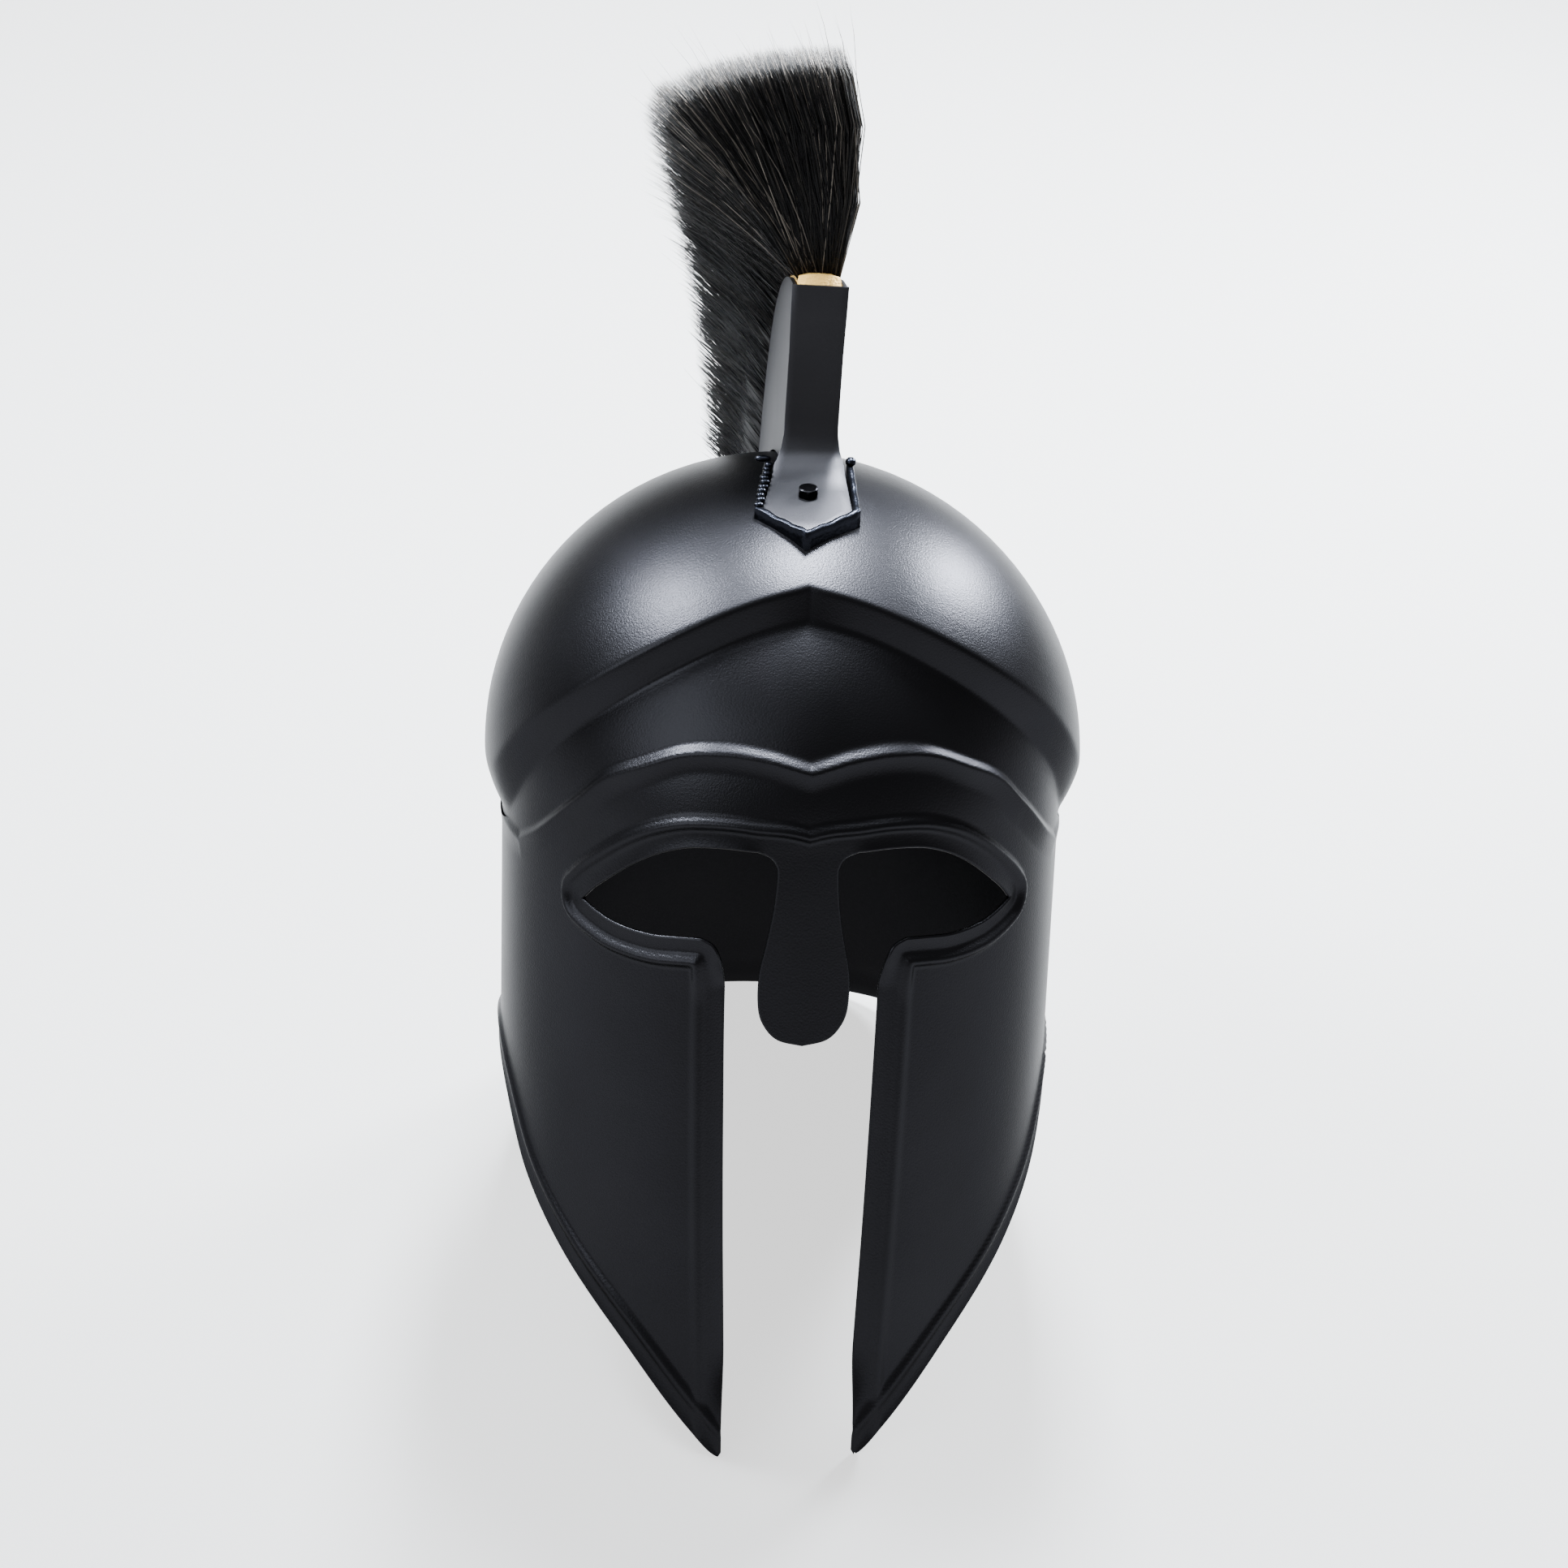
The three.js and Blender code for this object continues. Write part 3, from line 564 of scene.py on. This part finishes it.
def collar_rows():
    """The strip's section at each place along the five sides: down the outside, over a rounded
    top and down the inside, with both feet sunk into the dome."""
    inner = foot_outline(COLLAR["gap"], COLLAR["rear"])
    outer = foot_outline(COLLAR["gap"] + COLLAR["wall"], COLLAR["rear"])
    arm, point = np.linspace(0, 1, 15), np.linspace(0, 1, 11)
    share = [arm, point[1:], point[1:], arm[1:]]
    inner, outer = (np.concatenate([edge[i] + (edge[i + 1] - edge[i]) * s[:, None]
                                    for i, s in enumerate(share)]) for edge in (inner, outer))
    middle = 0.5 * (inner + outer)
    waver = 0.25 * np.sin(np.arange(len(inner)) * 1.7) + 0.2 * np.sin(np.arange(len(inner)) * 0.6)
    rows = []
    for out, down in ((1.0, 3.0), (1.0, 0.5), (0.72, 0.1), (0.0, 0.0), (-0.72, 0.1), (-1.0, 0.5),
                      (-1.0, 3.0)):
        across = middle + 0.5 * out * (outer - inner)
        rows.append(in_foot(np.column_stack([across, COLLAR["rise"] - down + waver])))
    for side in (0, -1):
        foot_row = rows[side].copy()
        sunk = dome_height(foot_row[:, 0], foot_row[:, 1]) - 1.0
        foot_row[:, 2] = np.minimum(sunk, foot_row[:, 2] - 0.2)
        rows.insert(0 if side == 0 else len(rows), foot_row)
    return np.array(rows)


grid = collar_rows()
rows, columns = grid.shape[:2]
ends = []
for column in (0, columns - 1):
    at = np.arange(rows) * columns + column
    ends.append(np.array([[at[k], at[k + 1], at[rows - 1 - k]] for k in range(rows // 2)] +
                         [[at[k + 1], at[rows - 2 - k], at[rows - 1 - k]] for k in range(rows // 2 - 1)]))
faces = np.concatenate([sheet_faces(rows, columns)[:, ::-1], ends[0], ends[1][:, ::-1]])
collar = build("collar", grid.reshape(-1, 3), faces, "black_paint", "helmet_shell")
collar.data.materials.append(lacquer)


def ball(centre, radii, turns=12, levels=7):
    """Ellipsoid as rings of points between its two poles."""
    lat = np.linspace(0, math.pi, levels)[1:-1, None]
    lon = np.linspace(0, 2 * math.pi, turns, endpoint=False)[None, :]
    ring = np.stack([np.sin(lat) * np.cos(lon), np.sin(lat) * np.sin(lon), np.cos(lat) + 0 * lon], -1)
    ring = ring.reshape(-1, 3)
    shape = np.concatenate([ring, [[0, 0, 1], [0, 0, -1]]]) * radii + centre
    top, low, step = len(ring), len(ring) + 1, np.arange(turns)
    after = (step + 1) % turns
    last = (levels - 3) * turns
    faces = np.concatenate([sheet_faces(levels - 2, turns, closed=True),
                            np.stack([np.full(turns, top), step, after], -1),
                            np.stack([np.full(turns, low), last + after, last + step], -1)])
    return shape, faces


bead_points, bead_faces, offset = [], [], 0
rng = np.random.default_rng(4)
left_arm = foot_outline(COLLAR["gap"] + 0.5 * COLLAR["wall"], COLLAR["rear"])[:2]
weld_places = [left_arm[0] + (left_arm[1] - left_arm[0]) * s for s in np.linspace(0.1, 0.95, 10)]
beads = [(in_foot([x + rng.uniform(-0.5, 0.5), y, COLLAR["rise"]]),
          rng.uniform(0.9, 1.3, 3) * (1.5, 1.5, 1.0))
         for x, y in weld_places]
lumps = [(in_foot([-16.6, -2.6, 1.2]), np.array([3.0, 1.7, 1.2])),
         (in_foot([14.8, -3.6, 1.6]), np.array([2.0, 2.6, 1.7]))]
for centre, size in beads + lumps:
    shape, faces = ball(centre, size)
    bead_points.append(shape)
    bead_faces.append(faces + offset)
    offset += len(shape)
welds = build("collar_welds", np.concatenate(bead_points), np.concatenate(bead_faces),
              "black_paint", "helmet_shell")
welds.data.materials.append(lacquer)

# ---------------------------------------------------------------------------
# The crest holder.
# Painted sheet steel: a five-sided foot lies in the collar, bends up into a narrow front plate,
# and two side walls run back from that over the dome as a channel, left and right as seen from
# the front.

# Upper edge of the side walls: (distance behind the front plate, height above the bend).
HOLDER_TOP = [(0, 63), (25, 60.5), (50, 54), (73, 43), (92, 27.5), (107, 7), (118, -16), (126, -40),
              (131, -62)]
HEEL, LAST = (115.0, -70.5), (131.0, -62.0)
HALF = 9.65


def channel_bottom(back, x):
    """Height of the wall's lower edge: a hair over the dome, and no lower than the heel's line."""
    place = in_crest(np.stack([np.full_like(back, x), back, np.zeros_like(back)], -1))
    on_dome = dome_height(place[:, 0], place[:, 1]) + 0.4 - BEND["z"]
    heel = HEEL[1] + (back - HEEL[0]) * (LAST[1] - HEEL[1]) / (LAST[0] - HEEL[0])
    return np.maximum(on_dome, np.maximum(heel, -82.0))


def finish_sheet(piece, thick, softened):
    """Gives a one-sided sheet its thickness behind its face and a small rounded arris."""
    solid = piece.modifiers.new("sheet", "SOLIDIFY")
    solid.thickness = thick / 1000.0
    solid.offset = -1.0
    solid.use_even_offset = True
    bevel = piece.modifiers.new("arris", "BEVEL")
    bevel.width = softened / 1000.0
    bevel.segments = 2
    bevel.limit_method = "ANGLE"
    bevel.angle_limit = math.radians(40)


def side_wall(side):
    """Grid of columns back along the channel and rows from its upper to its lower edge."""
    back = 0.3 + (LAST[0] - 0.3) * (1 - (1 - np.linspace(0, 1, 72)) ** 1.7)
    top = through(HOLDER_TOP, back)
    low = np.minimum(channel_bottom(back, side * HALF), top - 0.4)
    share = np.linspace(0, 1, 14)[:, None]
    z = top + (low - top) * share
    grid = np.stack([np.full_like(z, side * HALF), back + 0 * z, z], -1)
    faces = sheet_faces(*z.shape)
    return in_crest(grid.reshape(-1, 3)), faces if side > 0 else faces[:, ::-1]


for name, side in (("holder_left_wall", -1), ("holder_right_wall", 1)):
    wall = build(name, *side_wall(side), "black_paint", "crest_holder")
    wall.data.materials.append(holder_coat_painted_reflection)
    finish_sheet(wall, SHEET, 0.35)

# Front plate and foot: (distance ahead of the plate, height above the bend, half width).
FRONT_SHEET = [(0, 63, 10.1), (0, 52, 9.95), (0, 38, 9.65), (0, 22, 9.45), (0.1, 15, 9.5), (0.7, 9.5, 9.7),
               (2.2, 4.6, 10.5), (4.6, 1.6, 11.6), (7.6, 0.2, 12.5)]
FOOT_ROWS = [(-10.0, 12.8), (-24.0, 14.15), (-38.5, 15.6), (-46.3, 7.8), (-53.2, 0.6)]


def front_sheet():
    """Cross-lines from the plate's top, round the bend, to the foot's tip. The bend passes
    smoothly from the crest's frame to the foot's."""
    across = np.linspace(-1, 1, 9)
    lines = []
    for ahead, rise, half in FRONT_SHEET:
        turned = ease(ahead, 0, 8.5)
        upright = in_crest(np.stack([half * across, 0 * across - ahead, 0 * across + rise], -1))
        lying = in_foot(np.stack([half * across, 0 * across - ahead,
                                  0 * across + rise + 0.2 * ahead], -1))
        lines.append(upright + (lying - upright) * turned)
    for along, half in FOOT_ROWS:
        lines.append(in_foot(np.stack([half * across, 0 * across + along, 0 * across], -1)))
    grid = np.array(lines)
    return grid.reshape(-1, 3), sheet_faces(len(lines), len(across))


front = build("holder_front", *front_sheet(), "black_paint", "crest_holder")
front.data.materials.append(holder_coat_painted_reflection)
finish_sheet(front, SHEET, 0.4)

# The channel's rear wall.
corner = np.array([(-HALF, LAST[0], LAST[1]), (HALF, LAST[0], LAST[1]),
                   (-HALF, HEEL[0] + 8, HEEL[1] + 4.2), (HALF, HEEL[0] + 8, HEEL[1] + 4.2)])
rear_faces = [(0, 3, 2), (0, 1, 3)]
rear_wall = build("holder_rear", in_crest(corner), rear_faces, "black_paint", "crest_holder")
rear_wall.data.materials.append(holder_coat_painted_reflection)
finish_sheet(rear_wall, SHEET, 0.3)

# ---------------------------------------------------------------------------
# The bolt.
# A small hexagonal head, blackened, with its corners chamfered off, pulls the foot down.

BOLT = {"along": -27.6, "flats": 6.6, "head": 3.0, "base": 0.3}
sides = 48
round_turn = np.linspace(0, 2 * math.pi, sides, endpoint=False)
hexagon = 0.5 * BOLT["flats"] / np.cos((round_turn + math.pi / 6) % (math.pi / 3) - math.pi / 6)
circle = np.full(sides, 0.5 * BOLT["flats"])
chamfered = np.minimum(hexagon, circle * 1.03)
levels = [(hexagon, 0.0), (hexagon, BOLT["head"] - 0.9), (chamfered, BOLT["head"] - 0.25),
          (circle * 0.9, BOLT["head"]), (circle * 0.02, BOLT["head"] + 0.05)]
grid = np.array([np.stack([r * np.cos(round_turn), BOLT["along"] + r * np.sin(round_turn),
                           z + BOLT["base"] + 0 * r], -1) for r, z in levels])[::-1]
faces = sheet_faces(len(levels), sides, closed=True)
bolt_steel = coat("blackened_bolt", (0.004, 0.004, 0.005), (0.010, 0.010, 0.011), 0.22, 0.34,
                  grain_scale=900.0, grain_depth=0.00003, metal=1.0, edge=0.5)
bolt = build("bolt_head", in_foot(grid.reshape(-1, 3)), faces, "bolt_steel", "crest_bolt", smooth=False)
bolt.data.materials.append(bolt_steel)

# ---------------------------------------------------------------------------
# The brush core.
# A golden block of bound fibre fills the channel and holds the roots of the hair.

CORE = {"half": 7.9, "proud": 3.0, "front": 4.2, "rear": 129.0, "crown": 0.5}


def core_block():
    """Section of a block with a crowned top, carried back under the walls' upper edge."""
    back = CORE["front"] + (CORE["rear"] - CORE["front"]) * (1 - (1 - np.linspace(0, 1, 80)) ** 1.7)
    top = through(HOLDER_TOP, back) + CORE["proud"]
    low = np.minimum(channel_bottom(back, 0.0) + 0.3, top - 1.5)
    rows = []
    for x, drop in ((-1.0, 1.0), (-1.0, 0.06), (-0.93, 0.01), (-0.5, 0.0), (0.0, 0.0), (0.5, 0.0),
                    (0.93, 0.01), (1.0, 0.06), (1.0, 1.0)):
        z = top + CORE["crown"] * (1 - x * x) + (low - top) * drop
        rows.append(np.stack([np.full_like(back, x * CORE["half"]), back, z], -1))
    grid = np.array(rows)
    rows, columns = grid.shape[:2]
    faces = [sheet_faces(rows, columns)[:, ::-1]]
    for column, order in ((0, 1), (columns - 1, -1)):
        fan = np.array([[column, k * columns + column, (k + 1) * columns + column]
                        for k in range(1, rows - 1)])
        faces.append(fan[:, ::order])
    here, after, far = np.arange(columns - 1), np.arange(1, columns), (rows - 1) * columns
    faces += [np.stack([here, after, far + after], -1), np.stack([here, far + after, far + here], -1)]
    return in_crest(grid.reshape(-1, 3)), np.concatenate(faces)


gold_fibre = coat("gold_fibre", (0.30, 0.17, 0.03), (0.85, 0.52, 0.12), 0.6, 0.85,
                  grain_scale=1100.0, grain_depth=0.0004)
core = build("fibre_core", *core_block(), "brush_wood", "brush_core")
core.data.materials.append(gold_fibre)

# ---------------------------------------------------------------------------
# The plume.
# Stiff black horsehair, cut to one length, stands up at the front and fans back over the
# channel. It leans to the wearer's right, and single hairs stray from the trimmed edge.

FIRST_ROOT, LAST_ROOT, ROOT_HALF = 8.5, 129.5, 7.2

# Along the channel from 0 to 1: the hair's length, and the side reach of its tips, with left
# and right as seen from the front.
LENGTH = [(0, 85), (0.25, 79), (0.5, 72), (1, 60)]
LEFT_REACH = [(0, -60), (0.25, -62), (0.5, -50), (0.75, -36), (1, -27)]
RIGHT_REACH = [(0, 1), (0.5, 6), (1, 12)]


def hair(seed, count, first, last, stray):
    """Each hair is a three-sided tapering tube along a parabola from its root on the core to its
    tip. Roots fill the core's top. The tip's side step grows from the plume's one edge to the
    other, its height keeps the hair's length, and the fan turns back with the channel's slope."""
    rng = np.random.default_rng(seed)
    spine = np.linspace(FIRST_ROOT, LAST_ROOT, 400)
    top = through(HOLDER_TOP, spine)
    run = np.concatenate([[0], np.cumsum(np.hypot(np.diff(spine), np.diff(top)))])
    along = first + (last - first) * rng.random(count)
    back = np.interp(along * run[-1], run, spine)
    rise = np.interp(along * run[-1], run, top)
    slope = np.interp(along * run[-1], run, np.arctan2(np.gradient(top, run), np.gradient(spine, run)))
    upright = 1 - ease(along, 0, 0.12)
    fan_back = -np.sin(slope) * (1 - upright) - 0.02 * upright
    fan_up = np.cos(slope) * (1 - upright) + upright
    norm = np.hypot(fan_back, fan_up)
    fan_back, fan_up = fan_back / norm, fan_up / norm
    across = rng.random(count)
    root_x = (2 * across - 1) * ROOT_HALF
    spread = np.clip(across + rng.normal(0, 0.17, count), 0, 1)
    left, right = through(LEFT_REACH, along), through(RIGHT_REACH, along)
    side = left + (right - left) * spread**0.9 + rng.normal(0, 1.2 + 5 * stray, count)
    uneven = 1 - np.abs(rng.normal(0, 0.03, count)) + 0.2 * stray * rng.random(count)
    length = through(LENGTH, along) * uneven
    length = length * (1 - 0.25 * (rng.random(count) < 0.12) * rng.random(count))
    step = side - root_x
    reach = np.sqrt(np.maximum(length**2 - (0.9 * step) ** 2, (0.45 * length) ** 2))
    wander = rng.normal(0, 1.4 + 4 * stray, count)
    t = np.array([0.0, 0.3, 0.62, 0.86])[:, None]
    bow = rng.normal(0.10, 0.06 + 0.12 * stray, count)
    swell = 7.0 * spread**2 * np.sin(math.pi * t) + rng.normal(0, 0.8, count) * np.sin(2 * math.pi * t)
    sideways = root_x + step * (t * (1 - bow) + bow * t * t) + swell
    out = reach * (t + 0.06 * np.sin(math.pi * t))
    path = np.stack([sideways, back + fan_back * out + wander * t * t, rise + fan_up * out], -1)
    end = np.stack([root_x + step, back + fan_back * reach + wander, rise + fan_up * reach], -1)
    thick = rng.uniform(0.15, 0.25, count) * (0.7 if stray else 1 + 0.5 * ease(along, 0.1, 0.45))
    spin = rng.random(count) * 2 * math.pi
    corners = spin[:, None] + np.arange(3) * 2 * math.pi / 3
    offsets = np.stack([np.cos(corners), np.sin(corners), 0 * corners], -1)
    width = np.array([1.0, 1.0, 0.9, 0.65])[:, None] * thick
    rings = path[:, :, None, :] + offsets[None] * width[..., None, None]
    body = rings.transpose(1, 0, 2, 3).reshape(count, 12, 3)
    points = np.concatenate([body, end[:, None, :]], 1)
    faces = [[0, 2, 1]]
    for level in range(3):
        for k in range(3):
            a, b = 3 * level + k, 3 * level + (k + 1) % 3
            faces += [[a, b, b + 3], [a, b + 3, a + 3]]
    faces += [[9 + k, 9 + (k + 1) % 3, 12] for k in range(3)]
    corners_each = points.shape[1]
    every = np.array(faces)[None] + corners_each * np.arange(count)[:, None, None]
    # Each hair's value: most stay near black, a slight real difference in tone, while about one in six at
    # the front reaches the grey-brown of a painted glint; these fade out towards the rear.
    tone_and_painted_glint = np.repeat(rng.random(count) ** 3 * (1 - 0.5 * ease(along, 0.05, 0.4)), corners_each)
    return in_crest(points.reshape(-1, 3)), every.reshape(-1, 3), tone_and_painted_glint


def horsehair_material():
    """Black hair. An attribute that differs for each hair shifts it slightly in tone near black, and at its
    top end towards a light grey-brown, a painted glint.
    """
    material = bpy.data.materials.new("black_horsehair")
    material.use_nodes = True
    nodes, links = material.node_tree.nodes, material.node_tree.links
    shader = nodes["Principled BSDF"]
    shader.inputs["Roughness"].default_value = 0.45
    shader.inputs["Specular IOR Level"].default_value = 0.06
    tone_and_painted_glint = nodes.new("ShaderNodeAttribute")
    tone_and_painted_glint.attribute_name = "tone_and_painted_glint"
    ramp = nodes.new("ShaderNodeValToRGB")
    # The ramp runs from the hair's own near-black tones, through the middle stop, to the light grey-brown
    # of a painted glint at its top end.
    ramp.color_ramp.elements[0].color = (0.006, 0.006, 0.0065, 1)
    ramp.color_ramp.elements[1].color = (0.17, 0.15, 0.13, 1)
    middle = ramp.color_ramp.elements.new(0.6)
    middle.color = (0.016, 0.015, 0.014, 1)
    links.new(tone_and_painted_glint.outputs["Fac"], ramp.inputs["Fac"])
    links.new(ramp.outputs["Color"], shader.inputs["Base Color"])
    return material


horsehair = horsehair_material()
LOCKS = [("hair_front", 11, 8300, 0.0, 0.22, 0), ("hair_middle", 12, 8300, 0.18, 0.55, 0),
         ("hair_rear", 13, 8300, 0.5, 1.0, 0), ("hair_stray", 14, 260, 0.0, 1.0, 1)]


def root_mass():
    """Dark heart of the plume, where single hairs can no longer be told apart: rings round the
    fan at three quarters of its reach, closed at both ends."""
    along = np.linspace(0.03, 0.97, 24)
    back = FIRST_ROOT + (LAST_ROOT - FIRST_ROOT) * (1 - (1 - along) ** 1.35)
    rise = through(HOLDER_TOP, back)
    slope = np.arctan2(np.gradient(rise), np.gradient(back))
    fan_back, fan_up = -np.sin(slope) * ease(along, 0, 0.12), np.cos(slope)
    size = np.hypot(fan_back, fan_up)
    left, right, length = (through(rows, along) for rows in (LEFT_REACH, RIGHT_REACH, LENGTH))
    ring = [(-7, 0.0, 0), (7, 0.0, 0), (7.5, 0.25, 0.3), (6, 0.6, 0.6), (0, 0.72, 0.5), (0, 0.7, -0.3),
            (0, 0.62, -0.62), (-5, 0.3, -0.3)]
    rows = []
    for x, out, side in ring:
        across = x + np.where(side > 0, side * right, -side * left)
        rows.append(np.stack([across, back + fan_back / size * length * out,
                              rise + fan_up / size * length * out], -1))
    grid = np.array(rows).transpose(1, 0, 2)
    stations, corners = grid.shape[:2]
    fan = np.array([[0, k + 1, k] for k in range(1, corners - 1)])
    faces = [sheet_faces(stations, corners, closed=True), fan, fan[:, ::-1] + (stations - 1) * corners]
    return in_crest(grid.reshape(-1, 3)), np.concatenate(faces)


heart = build("hair_heart", *root_mass(), "horsehair", "plume")
heart.data.materials.append(horsehair)
for name, seed, count, first, last, stray in LOCKS:
    points, faces, tone_and_painted_glint = hair(seed, count, first, last, stray)
    lock = build(name, points, faces, "horsehair", "plume")
    attribute = lock.data.attributes.new("tone_and_painted_glint", "FLOAT", "POINT")
    attribute.data.foreach_set("value", tone_and_painted_glint.astype(np.float32))
    lock.data.materials.append(horsehair)

# ---------------------------------------------------------------------------
# The floor.
# A plain white table under and behind the helmet. It glows evenly, so that only a soft shadow
# shows on it.

floor_mesh = bpy.data.meshes.new("floor")
floor_mesh.from_pydata([(-6, -6, 0), (6, -6, 0), (6, 6, 0), (-6, 6, 0)], [], [(0, 1, 2, 3)])
floor = bpy.data.objects.new("floor", floor_mesh)
bpy.context.collection.objects.link(floor)
floor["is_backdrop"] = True
white = bpy.data.materials.new("white_table")
white.use_nodes = True
white_shader = white.node_tree.nodes["Principled BSDF"]
white_shader.inputs["Base Color"].default_value = (0.1, 0.1, 0.1, 1)
white_shader.inputs["Roughness"].default_value = 0.9
white_shader.inputs["Emission Color"].default_value = (1, 1, 1, 1)
white_shader.inputs["Emission Strength"].default_value = 1.35
floor_mesh.materials.append(white)

# ---------------------------------------------------------------------------
# The camera.
# It looks down a little on the brow from just to the wearer's right, and is rolled slightly.

VIEW = {"rise": 20.0, "aside": 5.7, "roll": 2.0, "reach": 1300.0, "across": 579.6, "right": 0.75,
        "down": 15.3}
SENSOR = 36.0
e, p, r = (math.radians(VIEW[k]) for k in ("rise", "aside", "roll"))
back = np.array([-math.sin(p) * math.cos(e), -math.cos(p) * math.cos(e), math.sin(e)])
right = np.array([math.cos(p), -math.sin(p), 0.0])
up = np.cross(back, right)
camera_right = right * math.cos(r) + up * math.sin(r)
camera_up = -right * math.sin(r) + up * math.cos(r)
eye = VIEW["reach"] * back + camera_right * VIEW["right"] - camera_up * VIEW["down"]
camera_data = bpy.data.cameras.new("camera")
camera_data.sensor_width = SENSOR
camera_data.lens = SENSOR * VIEW["reach"] / VIEW["across"]
camera_data.clip_end = 50.0
camera = bpy.data.objects.new("camera", camera_data)
bpy.context.collection.objects.link(camera)
bpy.context.scene.camera = camera
turned = np.eye(4)
turned[:3, 0], turned[:3, 1], turned[:3, 2] = LEAN @ camera_right, LEAN @ camera_up, LEAN @ back
turned[:3, 3] = stand(eye)
camera.matrix_world = Matrix(turned.tolist())

# ---------------------------------------------------------------------------
# Soft studio light.
# Three small soft boxes over the crown give the dome its highlights. A weak fill from the front
# and a broad ceiling panel open the shadows of a dim room.

world = bpy.data.worlds.new("studio")
bpy.context.scene.world = world
world.use_nodes = True
world.node_tree.nodes["Background"].inputs["Color"].default_value = (1, 1, 1, 1)
world.node_tree.nodes["Background"].inputs["Strength"].default_value = 0.6


def soft_box(name, place, aim, width, length, power):
    """Area light at a place over the helmet, facing an aim point, both in the wearer's frame."""
    data = bpy.data.lights.new(name, "AREA")
    data.shape = "RECTANGLE"
    data.size, data.size_y = width, length
    data.energy = power
    data.color = (0.9, 0.95, 1.0)
    light = bpy.data.objects.new(name, data)
    bpy.context.collection.objects.link(light)
    start, end = stand(place), stand(aim)
    away = (start - end) / np.linalg.norm(start - end)
    side = np.cross([0, 0, 1.0], away)
    side /= np.linalg.norm(side)
    turned = np.eye(4)
    turned[:3, :] = np.column_stack([side, np.cross(away, side), away, start])
    light.matrix_world = Matrix(turned.tolist())
    return light


soft_box("box_right", (850, 640, 745), (50, 0, 60), 0.22, 0.3, 190)
soft_box("box_left", (-720, 193, 1065), (-50, 0, 60), 0.3, 0.4, 105)
soft_box("box_back", (92, 400, 1232), (0, -40, 80), 0.2, 0.5, 330)
soft_box("front_fill", (-1100, -900, 550), (0, 0, 150), 1.0, 1.0, 22)
soft_box("ceiling", (0, 250, 1700), (0, 0, 60), 1.8, 1.8, 70)

size = {"cad": [list(corner) for corner in cad_box], "visual": [list(corner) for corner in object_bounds()]}
